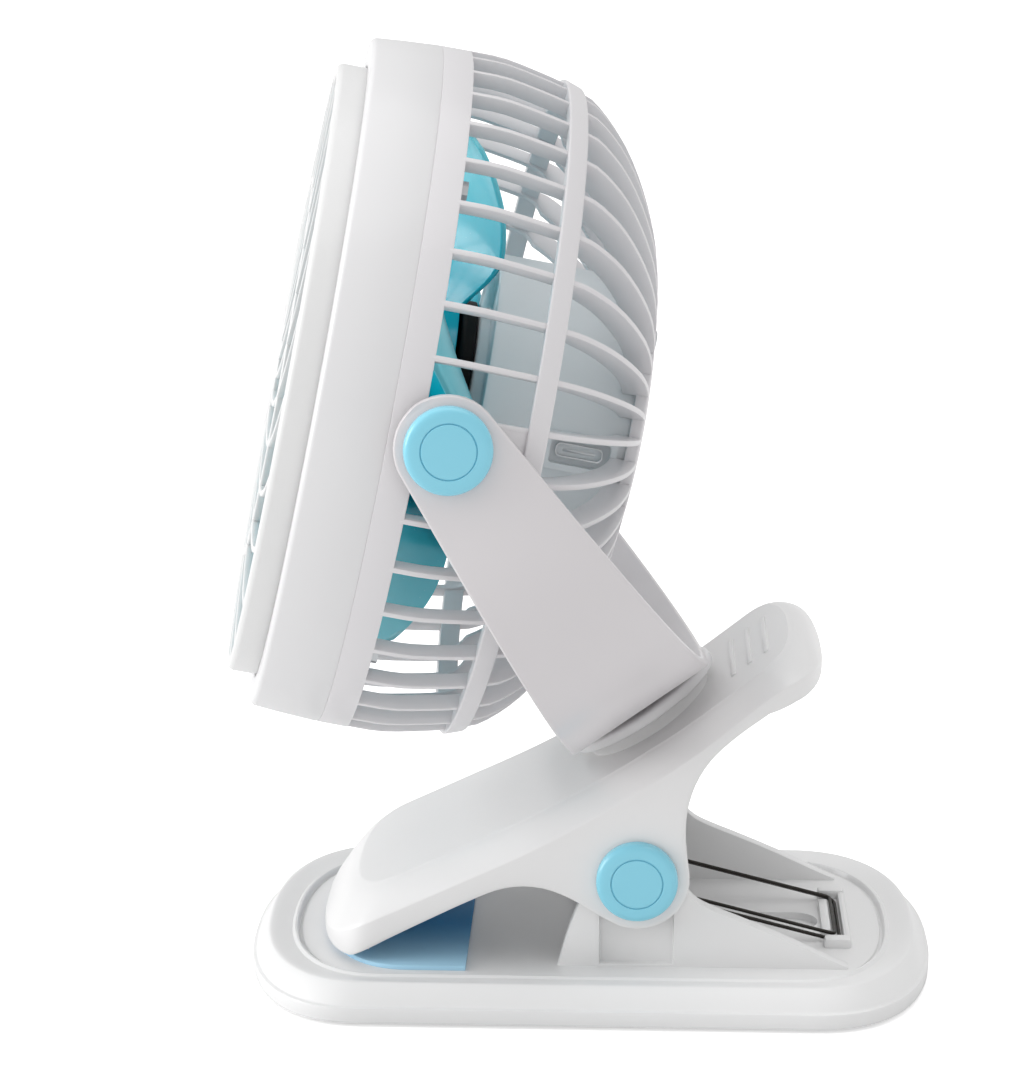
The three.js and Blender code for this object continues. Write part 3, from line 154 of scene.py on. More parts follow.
def mouldedFinish(name, tone, shade, gloss, grainScale=900, grainDepth=0.006, patchScale=30,
                  coat=0.0, metallic=0.0, specular=0.5):
    material, tree, shader = newMaterial(name)
    skin = addNode(tree, "ShaderNodeGroup", node_tree=mouldedSkin)
    feed(tree, skin, {"Tone": (*tone, 1), "Shade": (*shade, 1), "Patch Scale": patchScale,
                      "Grain Scale": grainScale, "Gloss Low": gloss[0], "Gloss High": gloss[1]})
    bump = addNode(tree, "ShaderNodeBump", {"Strength": 1.0, "Distance": grainDepth * millimetre,
                                            "Height": skin.outputs["Height"]})
    feed(tree, shader, {"Base Color": skin.outputs["Color"], "Roughness": skin.outputs["Roughness"],
                        "Normal": bump.outputs["Normal"], "Coat Weight": coat, "Coat Roughness": 0.12,
                        "Metallic": metallic, "Specular IOR Level": specular})
    return material


satin = (0.26, 0.36)
finishes = {  # tone, shade, least and most roughness, and what differs from the usual
    "whitePlastic": ((0.76, 0.755, 0.76), (0.735, 0.73, 0.74), satin, {"coat": 0.2}),
    "basePlastic": ((0.81, 0.81, 0.81), (0.79, 0.79, 0.79), satin, {"coat": 0.2}),
    "leverPlastic": ((0.79, 0.785, 0.785), (0.77, 0.765, 0.765), satin, {"coat": 0.2}),
    "armPlastic": ((0.68, 0.655, 0.668), (0.655, 0.63, 0.643), satin, {"coat": 0.2}),
    "cagePlastic": ((0.72, 0.705, 0.72), (0.695, 0.68, 0.695), satin, {"coat": 0.2}),
    "guardPlastic": ((0.76, 0.76, 0.755), (0.74, 0.74, 0.74), satin, {"coat": 0.2}),
    "innerPlastic": ((0.74, 0.77, 0.785), (0.70, 0.735, 0.755), (0.3, 0.42), {"coat": 0.1}),
    "skyPlastic": ((0.24, 0.64, 0.79), (0.22, 0.61, 0.76), (0.2, 0.28), {"coat": 0.5}),
    "bladePlastic": ((0.20, 0.72, 0.82), (0.16, 0.67, 0.78), (0.2, 0.3), {"coat": 0.4}),
    "padRubber": ((0.44, 0.72, 0.90), (0.41, 0.69, 0.88), (0.5, 0.65),
                  {"grainScale": 1400, "grainDepth": 0.02}),
    "footRubber": ((0.024, 0.025, 0.027), (0.034, 0.035, 0.037), (0.7, 0.85),
                   {"grainScale": 1600, "grainDepth": 0.05}),
    "blackPlastic": ((0.003, 0.003, 0.003), (0.006, 0.006, 0.006), (0.45, 0.6), {"specular": 0.12}),
    "springBlack": ((0.020, 0.018, 0.016), (0.035, 0.030, 0.026), (0.28, 0.45),
                    {"metallic": 0.7, "patchScale": 260}),
    "brightSteel": ((0.48, 0.49, 0.50), (0.56, 0.57, 0.58), (0.2, 0.34),
                    {"metallic": 1.0, "patchScale": 300}),
    "zincPlate": ((0.52, 0.54, 0.56), (0.60, 0.61, 0.62), (0.28, 0.42),
                  {"metallic": 1.0, "patchScale": 400}),
    "cellSleeve": ((0.10, 0.20, 0.42), (0.08, 0.17, 0.38), (0.3, 0.42), {"coat": 0.3}),
    "boardLacquer": ((0.012, 0.13, 0.062), (0.016, 0.17, 0.08), (0.3, 0.45),
                     {"patchScale": 500, "coat": 0.3}),
    "lightWindow": ((0.62, 0.82, 0.88), (0.55, 0.78, 0.86), (0.12, 0.2), {"coat": 0.5}),
}
materials = {name: mouldedFinish(name, *row[:3], **row[3]) for name, row in finishes.items()}


def fromMiddlePlane(tree):
    # distance from the middle plane of the base
    split = addNode(tree, "ShaderNodeSeparateXYZ", {"Vector": objectPoint(tree)})
    side = addNode(tree, "ShaderNodeMath", {0: split.outputs["X"]}, operation="ABSOLUTE")
    return side.outputs["Value"]


def fromHeadAxis(tree):
    # distance from the axis that the blades turn on
    centred = addNode(tree, "ShaderNodeMapping",
                      {"Location": headPlace.to_translation(), "Rotation": headPlace.to_euler(),
                       "Vector": objectPoint(tree)}, vector_type="TEXTURE")
    flat = addNode(tree, "ShaderNodeVectorMath", {0: centred.outputs["Vector"], 1: (1, 0, 1)},
                   operation="MULTIPLY")
    reach = addNode(tree, "ShaderNodeVectorMath", {0: flat.outputs["Vector"]}, operation="LENGTH")
    return reach.outputs["Value"]


def paintShade(name, deep, distanceOf, nearest, furthest):
    # painted shade: the colour turns to the dark colour given at the nearest distance and is as given at
    # the furthest
    tree = materials[name].node_tree
    shader = tree.nodes["Principled BSDF"]
    share = addNode(tree, "ShaderNodeMapRange",
                    {"From Min": nearest * millimetre, "From Max": furthest * millimetre,
                     "Value": distanceOf(tree)}, interpolation_type="SMOOTHSTEP").outputs["Result"]
    surface = shader.inputs["Base Color"].links[0].from_socket
    feed(tree, shader, {"Base Color": mixedColor(tree, share, (*deep, 1), surface)})


# painted shade on the pad, darkest along the middle under the clip's nose and lighter towards its sides
paintShade("padRubber", (0.0, 0.22, 0.50), fromMiddlePlane, nearest=4, furthest=34)
# painted shade on the impeller: the blades darken towards the hub, and the hub and hub cap are all in the
# dark colour
paintShade("bladePlastic", (0.0, 0.42, 0.54), fromHeadAxis, nearest=22, furthest=58)
print("finishes made")


def curveAt(points, x):
    # value of a curve given by sorted points, straight between them
    if x <= points[0][0]:
        return points[0][1]
    for (x0, y0), (x1, y1) in zip(points, points[1:]):
        if x <= x1:
            return y0 + (y1 - y0) * (x - x0) / (x1 - x0)
    return points[-1][1]


def smoothLine(points, perSpan=6):
    # a smooth line through all the points
    line = []
    for i in range(len(points) - 1):
        before, start = Vector(points[max(i - 1, 0)]), Vector(points[i])
        end, after = Vector(points[i + 1]), Vector(points[min(i + 2, len(points) - 1)])
        for step in range(perSpan):
            t = step / perSpan
            line.append(0.5 * (2 * start + (end - before) * t
                               + (2 * before - 5 * start + 4 * end - after) * t * t
                               + (3 * start - before - 3 * end + after) * t ** 3))
    return line + [Vector(points[-1])]


def pairsOf(line):
    return [(point.x, point.y) for point in line]


def spacedAlong(line, count):
    # the same line as count + 1 points at equal steps of its length
    lengths = [0]
    for start, end in zip(line, line[1:]):
        lengths.append(lengths[-1] + (end - start).length)
    spaced, k = [], 0
    for i in range(count + 1):
        reach = lengths[-1] * i / count
        while k < len(line) - 2 and lengths[k + 1] < reach:
            k += 1
        span = lengths[k + 1] - lengths[k]
        spaced.append(line[k].lerp(line[k + 1], (reach - lengths[k]) / span if span else 0))
    return spaced


def roundedCorners(halfX, halfY, radius, steps=5):
    # outline of a rectangle with rounded corners
    outline = []
    for quarter, (x, y) in enumerate(((1, 1), (-1, 1), (-1, -1), (1, -1))):
        for step in range(steps + 1):
            angle = pi / 2 * (quarter + step / steps)
            outline.append((x * (halfX - radius) + radius * cos(angle),
                            y * (halfY - radius) + radius * sin(angle)))
    return outline


def roundedPlan(halfWidth, front, rear, frontEnd, rearEnd, roundness, straight=24, steps=20):
    # plan with superellipse ends: right side to the front, round it, left side, round the rear
    quarter = []     # (across, along) shares from the side to the tip
    for i in range(steps + 1):
        t = pi / 2 * i / steps
        quarter.append((cos(t) ** (2 / roundness) if i < steps else 0.0, sin(t) ** (2 / roundness)))
    frontStart, rearStart = front + frontEnd, rear - rearEnd
    forward = [(halfWidth, rearStart + (frontStart - rearStart) * i / straight)
               for i in range(straight)]
    forward += [(halfWidth * across, frontStart - frontEnd * along) for across, along in quarter]
    behind = [(-halfWidth * across, rearStart + rearEnd * along) for across, along in quarter[1:]]
    ring = []
    for part in (forward, behind):
        ring += part + [(-x, y) for x, y in part[-2::-1]]
    return ring


def barSection(near, far, depth, soft, perCorner=3):
    # (across, down) points round a bar with soft edges; near and far are its half widths
    points = []
    for side, deep, start in ((-1, 0, 270), (1, 0, 0), (1, 1, 90), (-1, 1, 180)):
        half = far if deep else near
        for step in range(perCorner):
            angle = radians(start + 90 * step / (perCorner - 1))
            points.append((side * max(half - soft, 0) + min(soft, half) * sin(angle),
                           (depth - soft if deep else soft) - soft * cos(angle)))
    return points


mergeGap = 0.003     # points this close are one point
cutGap = 0.0001


def everything(bm):
    return bm.verts[:] + bm.edges[:] + bm.faces[:]


def moved(bm, *matrices):
    for matrix in matrices:
        bmesh.ops.transform(bm, matrix=matrix, verts=bm.verts)
    return bm


def settled(bm):
    bmesh.ops.recalc_face_normals(bm, faces=bm.faces)
    return bm


def softened(bm, geom, width, segments=2, affect="EDGES"):
    bmesh.ops.bevel(bm, geom=geom, offset=width, offset_type="OFFSET", segments=segments, profile=0.5,
                    affect=affect, clamp_overlap=True, material=-1)
    return bm


def sharpEdges(bm):
    return [edge for edge in bm.edges if edge.calc_face_angle(0) > radians(30)]


def raisedFaces(bm, faces, height):
    # the faces drawn out along Z, with walls down to where they were
    drawn = bmesh.ops.extrude_face_region(bm, geom=faces)["geom"]
    verts = [g for g in drawn if isinstance(g, bmesh.types.BMVert)]
    bmesh.ops.translate(bm, vec=(0, 0, height), verts=verts)


def gridBody(columns, rows, pointAt, wraps=True, filled=True):
    # a grid bent into a tube or sheet; open ends are filled
    bm = bmesh.new()
    for vert in bmesh.ops.create_grid(bm, x_segments=columns, y_segments=rows, size=1)["verts"]:
        i, j = round((vert.co.x + 1) / 2 * columns), round((vert.co.y + 1) / 2 * rows)
        vert.co = pointAt(i % columns if wraps else i, j)
    bmesh.ops.remove_doubles(bm, verts=bm.verts, dist=mergeGap)
    if filled:
        bmesh.ops.holes_fill(bm, edges=[edge for edge in bm.edges if edge.is_boundary], sides=0)
    return bm


def ringBody(rings):
    return gridBody(len(rings[0]), len(rings) - 1, lambda i, j: rings[j][i])


def platedRings(rings):
    # rings of (x, y, z); the first and last are drawn together on the middle line
    first, last = [[(0, y, z) for _, y, z in ring] for ring in (rings[0], rings[-1])]
    return ringBody([first] + rings + [last])


def stackedPlans(planAt, levels):
    # one plan drawn in by an inset at each level, from (inset, z)
    return platedRings([[(x, y, z) for x, y in planAt(inset)] for inset, z in levels])


def sweptBody(stations):
    # sections of (across, down) points, each with its origin and the ways across and down
    return ringBody([[origin + across * a + down * d for a, d in section]
                     for origin, across, down, section in stations])


def headingAt(line, k):
    return (line[min(k + 1, len(line) - 1)] - line[max(k - 1, 0)]).normalized()


def turnedBody(profile, steps=96, closed=True):
    # spun about Y from (along, radius) points; a third number softens that corner
    bm = bmesh.new()
    verts = [bm.verts.new((point[1], point[0], 0)) for point in profile]
    for pair in zip(verts, verts[1:] + (verts[:1] if closed else [])):
        bm.edges.new(pair)
    for vert, point in zip(verts, profile):
        if len(point) > 2:
            softened(bm, [vert], point[2], segments=4, affect="VERTICES")
    bmesh.ops.spin(bm, geom=everything(bm), cent=(0, 0, 0), axis=(0, 1, 0), angle=2 * pi, steps=steps,
                   use_merge=True)
    bmesh.ops.remove_doubles(bm, verts=bm.verts, dist=mergeGap)
    return bm


def slabBody(outline, low, high, soften=0.0):
    # an outline in the X-Y plane, drawn up from low to high, its edges softened
    bm = bmesh.new()
    raisedFaces(bm, [bm.faces.new([bm.verts.new((x, y, low)) for x, y in outline])], high - low)
    settled(bm)
    return softened(bm, sharpEdges(bm), soften) if soften else bm


def blockBody(low, high, soften=0.3):
    bm = bmesh.new()
    bmesh.ops.create_cube(bm, size=1)
    bmesh.ops.scale(bm, vec=[b - a for a, b in zip(low, high)], verts=bm.verts)
    bmesh.ops.translate(bm, vec=[(a + b) / 2 for a, b in zip(low, high)], verts=bm.verts)
    return softened(bm, bm.edges[:], soften)


def repeated(bm, copies):
    # the same shape copies times round Y
    bmesh.ops.spin(bm, geom=everything(bm), cent=(0, 0, 0), axis=(0, 1, 0),
                   angle=2 * pi * (copies - 1) / copies, steps=copies - 1, use_duplicate=True)
    return bm


def meshOf(bm, name):
    mesh = bpy.data.meshes.new(name)
    bm.to_mesh(mesh)
    bm.free()
    return mesh


def joined(*shapes):
    whole = bmesh.new()
    for shape in shapes:
        mesh = meshOf(settled(shape), "joining")
        whole.from_mesh(mesh)
        bpy.data.meshes.remove(mesh)
    return whole


def carved(body, *tools, keep=False):
    # the body without the tools' shapes, or with keep=True only what lies inside them
    held = [placed("carving", meshOf(settled(shape), "carving")) for shape in (body, *tools)]
    for tool in held[1:]:
        step = held[0].modifiers.new("step", "BOOLEAN")
        step.operation = "INTERSECT" if keep else "DIFFERENCE"
        step.solver = "EXACT"
        step.object = tool
    bpy.context.view_layer.update()
    evaluated = held[0].evaluated_get(bpy.context.evaluated_depsgraph_get())
    meshes = [bpy.data.meshes.new_from_object(evaluated)] + [piece.data for piece in held]
    whole = bmesh.new()
    whole.from_mesh(meshes[0])
    for piece in held:
        bpy.data.objects.remove(piece)
    for mesh in meshes:
        bpy.data.meshes.remove(mesh)
    return whole


def finishPiece(name, bm, finish, body, node, sharp=31, rides=True):
    settled(bm)
    for edge in bm.edges:
        edge.smooth = len(edge.link_faces) == 2 and edge.calc_face_angle(0) < radians(sharp)
    for face in bm.faces:
        face.smooth = True
    piece = placed(name, meshOf(moved(bm, bodyPlaces[body]), name))
    piece.data.materials.append(materials[finish])
    if rides:
        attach(piece, body)
    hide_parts(node)
    return piece


def titled(place):
    return place.title().replace("_", "")


alongX = about("Z", -90)     # a body turned about Y, laid along X
alongZ = about("X", 90)      # the same, stood along Z
# from an outline drawn in X-Y to one in Y-Z
outlineAcross = Matrix(((0, 0, 1, 0), (1, 0, 0, 0), (0, 1, 0, 0), (0, 0, 0, 1)))


def pinProfile(start, radius, end):
    return [(start, 0), (start, radius), (end, radius), (end, 0)]


def steppedProfile(start, radius, step, nextRadius, end):
    return pinProfile(start, radius, step)[:-1] + pinProfile(step, nextRadius, end)[1:]


def upright(x, y, profile, steps=48):
    # a closed body turned about a line along Z through (x, y)
    return moved(turnedBody(profile, steps, closed=False), alongZ, at(x, y, 0))


def lengthwise(x, z, profile, steps=40):
    # a closed body turned about a line along Y through (x, z)
    return moved(turnedBody(profile, steps, closed=False), at(x, 0, z))


def screwBody(length):
    # countersunk cross-head screw about Y, its face at Y = 0 and its shank towards -Y
    body = turnedBody([(0, 0), (0, 2.1, 0.15), (-0.3, 2.4, 0.1), (-1.2, 2.4, 0.1), (-1.2, 1.2),
                       (-length, 1.1, 0.3), (-length, 0)], 32, closed=False)
    return carved(body, blockBody((-1.35, -0.75, -0.28), (1.35, 0.5, 0.28), 0.08),
                  blockBody((-0.28, -0.75, -1.35), (0.28, 0.5, 1.35), 0.08))


base = {
    "width": 91.5, "length": 147.8, "frontEnd": 26, "rearEnd": 27, "roundness": 2.35, "deck": 7.6,
    "skin": [  # inset and height, from the middle of the deck over the rim and down to the foot
        (24, 7.6), (11.2, 7.6), (10.7, 7.45), (10.5, 7.0), (10.1, 6.9), (9.9, 7.1), (9.75, 8.05),
        (9.5, 8.38), (9.1, 8.44), (8.75, 8.2), (8.5, 8.0), (7.0, 8.22), (5.2, 8.6), (4.2, 8.74),
        (3.7, 8.72), (3.4, 8.55), (0.95, 4.75), (0.75, 4.45), (0.6, 4.36), (0.3, 4.34), (0.08, 4.2),
        (0.0, 3.95), (0.0, 3.4), (0.08, 1.3), (0.25, 0.9), (0.6, 0.8)],
    "inside": [(1.8, 0.8), (2.0, 1.0), (2.0, 3.4), (5.5, 5.6), (24, 5.6)],
    "recess": {"halfX": 5.0, "halfY": 8.9, "corner": 4.9, "x": 0.3, "y": 41.0, "depth": 1.7},
}
hinge = {"y": 10.1, "z": 28.3}


def basePlan(inset):
    halfLength = base["length"] / 2 - inset
    return roundedPlan(base["width"] / 2 - inset, -halfLength, halfLength, base["frontEnd"] - inset / 2,
                       base["rearEnd"] - inset / 2, base["roundness"])


def deckRecess():
    # shallow oblong recess in the deck behind the clip
    recess = base["recess"]
    outline = roundedCorners(recess["halfX"], recess["halfY"], recess["corner"], 8)
    return moved(slabBody(outline, base["deck"] - recess["depth"], base["deck"] + 2, 0.2),
                 at(recess["x"], recess["y"], 0))


gusset = {
    "outer": 28.5, "inner": 25.3, "headRadius": 9.6, "foot": 6.4, "soften": 0.45,
    "pocket": {"from": 2.3, "to": 17.9, "depth": 1.6, "low": base["deck"] + 0.6, "top": 24.0},
    "front": [(-7.2, 7.0), (-6.5, 8.0), (-5.7, 11.0), (-4.4, 15.6), (-2.6, 20.4), (-0.4, 25.2)],
    "rear": [(20.6, 24.6), (23.0, 22.2), (27.0, 20.2), (32.7, 17.9), (41.4, 14.2), (50.0, 10.2),
             (55.0, 8.0)],
}


def roundHinge(radius, angle):
    # (y, z) of a point round the clip's hinge
    return Vector((hinge["y"] + radius * cos(angle), hinge["z"] + radius * sin(angle)))


def gussetOutline():
    head = [roundHinge(gusset["headRadius"], radians(angle)) for angle in range(170, -1, -10)]
    line = pairsOf(smoothLine(gusset["front"], 3) + head + smoothLine(gusset["rear"], 3))
    return line + [(gusset["rear"][-1][0], gusset["foot"]), (gusset["front"][0][0], gusset["foot"])]


def gussetBody(side):
    plate = slabBody(gussetOutline(), gusset["inner"], gusset["outer"])
    pocket = gusset["pocket"]
    for axis, edges in ((0, ("from", "to")), (1, ("top", "low"))):
        for edge in edges:
            normal = Vector([k == axis for k in range(3)])
            bmesh.ops.bisect_plane(plate, geom=everything(plate), plane_co=normal * pocket[edge],
                                   plane_no=normal, dist=cutGap)
    outer = [face for face in plate.faces if face.normal.z > 0.9
             and pocket["from"] < face.calc_center_median().x < pocket["to"]
             and pocket["low"] < face.calc_center_median().y < pocket["top"]]
    raisedFaces(plate, outer, -pocket["depth"])
    bmesh.ops.delete(plate, geom=outer, context="FACES")
    bmesh.ops.remove_doubles(plate, verts=plate.verts, dist=0.001)
    settled(plate)
    moved(softened(plate, sharpEdges(plate), gusset["soften"]), outlineAcross)
    return moved(plate, Matrix.Scale(-1, 4, (1, 0, 0))) if side < 0 else plate


# low wall behind the clip with two hooks and a rear wall, which hold the spring's loop
fence = {"y": 50.4, "thickness": 2.0, "halfWidth": 9.4, "height": 1.6, "loopY": 53.6, "hookFrom": 13.2,
         "hookTo": 16.6, "rearFrom": 1.2, "rearTo": 2.9, "rearHeight": 1.7}


def fenceBodies():
    deck = base["deck"]
    foot, top = deck - 0.6, deck + fence["height"]
    blocks = [blockBody((-fence["halfWidth"], fence["y"], foot),
                        (fence["halfWidth"], fence["y"] + fence["thickness"], top), 0.35),
              blockBody((-fence["hookTo"] + 0.1, fence["loopY"] + fence["rearFrom"], foot),
                        (fence["hookTo"] - 0.1, fence["loopY"] + fence["rearTo"],
                         deck + fence["rearHeight"]), 0.8)]
    for side in (-1, 1):
        near, far = sorted((side * fence["hookFrom"], side * fence["hookTo"]))
        blocks.append(blockBody((near, fence["y"] + 0.1, foot), (far, fence["loopY"] + 2.8, top + 0.6),
                                0.9))
    return blocks


baseSkin = carved(stackedPlans(basePlan, base["skin"] + base["inside"]), deckRecess())
finishPiece("baseMoulding", joined(baseSkin, gussetBody(1), gussetBody(-1), *fenceBodies()),
            "basePlastic", "base", "base_shell")


pad = {"halfWidth": 32.35, "front": -57.0, "frontEnd": 19.5, "rear": -26.0, "low": 7.65, "top": 8.6}


def padPlan(inset):
    return roundedPlan(pad["halfWidth"] - inset, pad["front"] + inset, 0, pad["frontEnd"], 8,
                       base["roundness"])


def lowerPad():
    # deck pad under the nose: the deck's outline drawn in, cut off straight at the rear
    top = pad["top"]
    bm = stackedPlans(padPlan, ((0, pad["low"]), (0, top - 0.35), (0.1, top - 0.1), (0.35, top)))
    cut = bmesh.ops.bisect_plane(bm, geom=everything(bm), plane_co=(0, pad["rear"], 0),
                                 plane_no=(0, 1, 0), clear_outer=True, dist=cutGap)["geom_cut"]
    bmesh.ops.holes_fill(bm, edges=[g for g in cut if isinstance(g, bmesh.types.BMEdge)], sides=0)
    return bm


under = {"coverInset": 2.3, "coverLow": 0.9, "coverTop": 3.0, "footX": 28.0, "footY": 52.0,
         "footWell": 6.3, "footSeat": 2.0, "screwX": 17.0, "screwY": 42.0, "screwWell": 2.7,
         "screwSeat": 2.3, "screwHole": 1.5,
         "foot": [(0.12, 0), (0.12, 2.2, 0.1), (0, 2.5, 0.1), (0, 3.6, 0.1), (0.14, 3.8, 0.1),
                  (0.14, 4.3, 0.1), (0, 4.5, 0.1), (0.05, 5.4, 0.2), (0.75, 6.0, 0.3), (1.7, 6.0, 0.15),
                  (1.7, 0)]}
baseCorners = {"front_left": (-1, -1), "front_right": (1, -1), "rear_left": (-1, 1),
               "rear_right": (1, 1)}


def bottomCover():
    inset, low, top = under["coverInset"], under["coverLow"], under["coverTop"]
    plate = stackedPlans(basePlan, ((inset + 0.4, low), (inset + 0.1, low + 0.1), (inset, low + 0.4),
                                    (inset, top)))
    tools = []
    for x, y in baseCorners.values():
        tools.append(upright(x * under["footX"], y * under["footY"],
                             pinProfile(-1, under["footWell"], under["footSeat"])))
        tools.append(upright(x * under["screwX"], y * under["screwY"], steppedProfile(
            -1, under["screwWell"], under["screwSeat"], under["screwHole"], top + 1), 32))
    return carved(plate, *tools)


finishPiece("baseCover", bottomCover(), "basePlastic", "base", "base_bottom_cover")
for place, (x, y) in baseCorners.items():
    finishPiece("foot" + titled(place), upright(x * under["footX"], y * under["footY"], under["foot"]),
                "footRubber", "base", "foot_" + place)
    screw = moved(screwBody(4.2), about("X", -90),
                  at(x * under["screwX"], y * under["screwY"], under["coverLow"]))
    finishPiece("baseScrew" + titled(place), screw, "zincPlate", "base", "base_screw_" + place)
finishPiece("lowerGripPad", lowerPad(), "padRubber", "base", "lower_jaw_pad")
print("base made")


spring = {"strand": 0.4, "apart": 0.74, "rise": 0.75, "coil": 8.5, "turns": 4, "pitch": 2.45,
          "loopHalfWidth": 12, "leg": 23.5, "leverTangent": 143, "bend": 2.2, "sides": 10}


def springLine():
    # one half from the loop's middle over its corner and the coil to the lever, then mirrored
    loopZ = base["deck"] + spring["rise"]
    toLoop = Vector((fence["loopY"] - hinge["y"], loopZ - hinge["z"]))
    rearTangent = atan2(toLoop.y, toLoop.x) - acos(spring["coil"] / toLoop.length) + 2 * pi
    leverTangent = radians(spring["leverTangent"])
    sweep = rearTangent - leverTangent + 2 * pi * spring["turns"]
    steps = round(sweep / radians(12))
    coil = []
    for i in range(steps + 1):
        across = spring["loopHalfWidth"] + spring["pitch"] * sweep / (2 * pi) * i / steps
        coil.append(Vector((across, *roundHinge(spring["coil"], rearTangent - sweep * i / steps))))
    corner = Vector((spring["loopHalfWidth"], fence["loopY"], loopZ))
    start = corner + (coil[0] - corner).normalized() * spring["bend"]
    end = corner - Vector((spring["bend"], 0, 0))
    bend = [start.lerp(corner, t / 6).lerp(corner.lerp(end, t / 6), t / 6) for t in range(6, -1, -1)]
    heading = Vector((0, sin(leverTangent), -cos(leverTangent)))
    half = bend + coil + [coil[-1] + heading * spring["leg"] * k / 4 for k in range(1, 5)]
    return [Vector((-p.x, p.y, p.z)) for p in reversed(half)] + half


def strandBody(line, shift):
    # one of the two strands that lie side by side along the line
    radius, turns = spring["strand"], [2 * pi * k / spring["sides"] for k in range(spring["sides"])]
    section = [(radius * cos(turn) + shift, radius * sin(turn)) for turn in turns]
    stations, normal = [], Vector((1, 0, 0))
    for k, point in enumerate(line):
        heading = headingAt(line, k)
        normal = (normal - heading * normal.dot(heading)).normalized()
        stations.append((point, normal, heading.cross(normal), section))
    return sweptBody(stations)


def windsWithLever(piece):
    # the wire is left off every body and its place is baked into its points; the ends of a line through
    # the coil's middle are worked out but not used
    upwards = Vector((0, -0.3, 0.954)) * spring["coil"]
    centre = Vector((0, hinge["y"], hinge["z"]))
    start, end = basePlace @ (centre - upwards), basePlace @ (centre + upwards)
    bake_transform(piece)
    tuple(start)
    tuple(end)


strands = [strandBody(springLine(), side * spring["apart"]) for side in (1, -1)]
windsWithLever(finishPiece("clipSpringWire", joined(*strands), "springBlack", "base",
                           "clip_spring", rides=False))


lever = {
    "halfWidth": 31.5, "front": -58.0, "rear": 49.2, "frontEnd": 13, "rearEnd": 12, "roundness": 2.5,
    "endTaper": 0.45, "sideSteps": 60, "endSteps": 16, "wall": 2.6, "shoulderWidth": 7.2,
    "shoulderCurve": 1.45, "shoulderStep": 0.22, "earRadius": 11.1, "ceiling": 4.6,
    "crown": [(-58.5, 16.8), (-55.2, 18.6), (-50, 21.6), (-40, 26.3), (-28, 32), (-15, 38.2),
              (-5, 43.6), (4.6, 49.4), (12, 54.2), (18, 58.3), (24, 62.8), (31, 68.3), (36.5, 72.6),
              (40, 74.6), (43, 75.6), (45.5, 75.8), (47.6, 75.1), (49.3, 73.6)],
    "arch": [(-44.9, 12.8), (-40, 15.4), (-32, 19.5), (-24.5, 23.2), (-19, 25.5), (-13.8, 26.3),
             (-8.5, 25.6), (-3, 23.2), (2.4, 19.9)],
    "waist": [(21.15, 29.0), (20.6, 33), (20.2, 38), (20.5, 43.4), (22.2, 49.4), (25.6, 55), (31, 60.2),
              (37.2, 64.9)],
    "noseEdge": [(-58.0, 9.6), (-50.5, 9.6), (-47.5, 11.3), (-44.9, 12.8)],
    "handleEdge": [(37.2, 64.9), (42.6, 67.0), (46.4, 67.8), (49.2, 68.2)],
    "shoulder": [(24, 5.5), (36, 4.8), (44, 3.8), (50, 3.2)],
    "grip": {"first": 30.2, "pitch": 3.4, "halfWidth": 13, "halfLength": 0.65, "rise": 0.45,
             "sink": 0.9},
    "noseFloor": [(-27.5, -46.8), (-20, -55.2), (20, -55.2), (27.5, -46.8)],
}
crownLine = pairsOf(smoothLine(lever["crown"]))


def skirtLine():
    # lower edge of a skirt as (y, z), from the handle over the ear to the nose
    ear = [roundHinge(lever["earRadius"], radians(angle)) for angle in range(-4, -113, -6)]
    return smoothLine(lever["waist"])[::-1] + ear + smoothLine(lever["arch"], 5)[::-1]


def leverPlan(inset):
    drawnIn = inset * lever["endTaper"]
    return roundedPlan(lever["halfWidth"] - inset, lever["front"] + inset, lever["rear"] - inset,
                       lever["frontEnd"] - drawnIn, lever["rearEnd"] - drawnIn, lever["roundness"],
                       lever["sideSteps"], lever["endSteps"])


def crownRing(inset, dropAt):
    # the plan at the height of the crown, less a drop
    return [(x, y, curveAt(crownLine, y) - dropAt(y)) for x, y in leverPlan(inset)]


def shoulderDrop(y):
    return curveAt(lever["shoulder"], y)


def skirtRing(edge, lift, inset):
    # the lower edge, lifted into the skirt and drawn in from its face
    sides, ring = lever["sideSteps"], []
    leftFirst = sides + 2 * lever["endSteps"] + 1     # the left side runs back from the nose
    for i, (x, y) in enumerate(leverPlan(inset)):
        k = i if i <= sides else sides + leftFirst - i
        if 0 < k < sides:
            heading = (edge[k + 1] - edge[k - 1]).normalized()
            y, z = edge[k] + Vector((heading.y, -heading.x)) * lift
        else:
            z = curveAt(lever["noseEdge"] if y < 0 else lever["handleEdge"], y) + lift
        ring.append((x, y, z))
    return ring


def leverSkin():
    width, wall = lever["shoulderWidth"], lever["wall"]
    rings = []
    for inset in (11, 9, width + 0.5, width + 0.1, width - 0.25, 6.4, 5.6, 4.8, 4.0, 3.2, 2.4, 1.7, 1.1,
                  0.6, 0.2):
        start = lever["shoulderStep"] if inset < width else 0
        share = max(0, 1 - inset / width) ** lever["shoulderCurve"]
        rings.append(crownRing(inset, lambda y: start + (shoulderDrop(y) - start) * share))
    for inset, more in ((0.05, 0.02), (0, 0.16)):
        rings.append(crownRing(inset, lambda y: shoulderDrop(y) + more))
    edge = spacedAlong(skirtLine(), lever["sideSteps"])
    for lift, inset in ((0.9, 0), (0.4, 0), (0.1, 0.12), (0, 0.4), (0, 2.2), (0.1, 2.5), (0.5, wall)):
        rings.append(skirtRing(edge, lift, inset))
    rings.append(crownRing(wall, lambda y: lever["ceiling"]))
    return platedRings(rings)


swivel = {"boltRadius": 2.5, "bossRadius": 15.0, "bossTop": 82.4, "nutTop": 92.4, "discTop": 79.5,
          "discRadius": 18.0, "discThickness": 2.6, "discHole": 2.8}


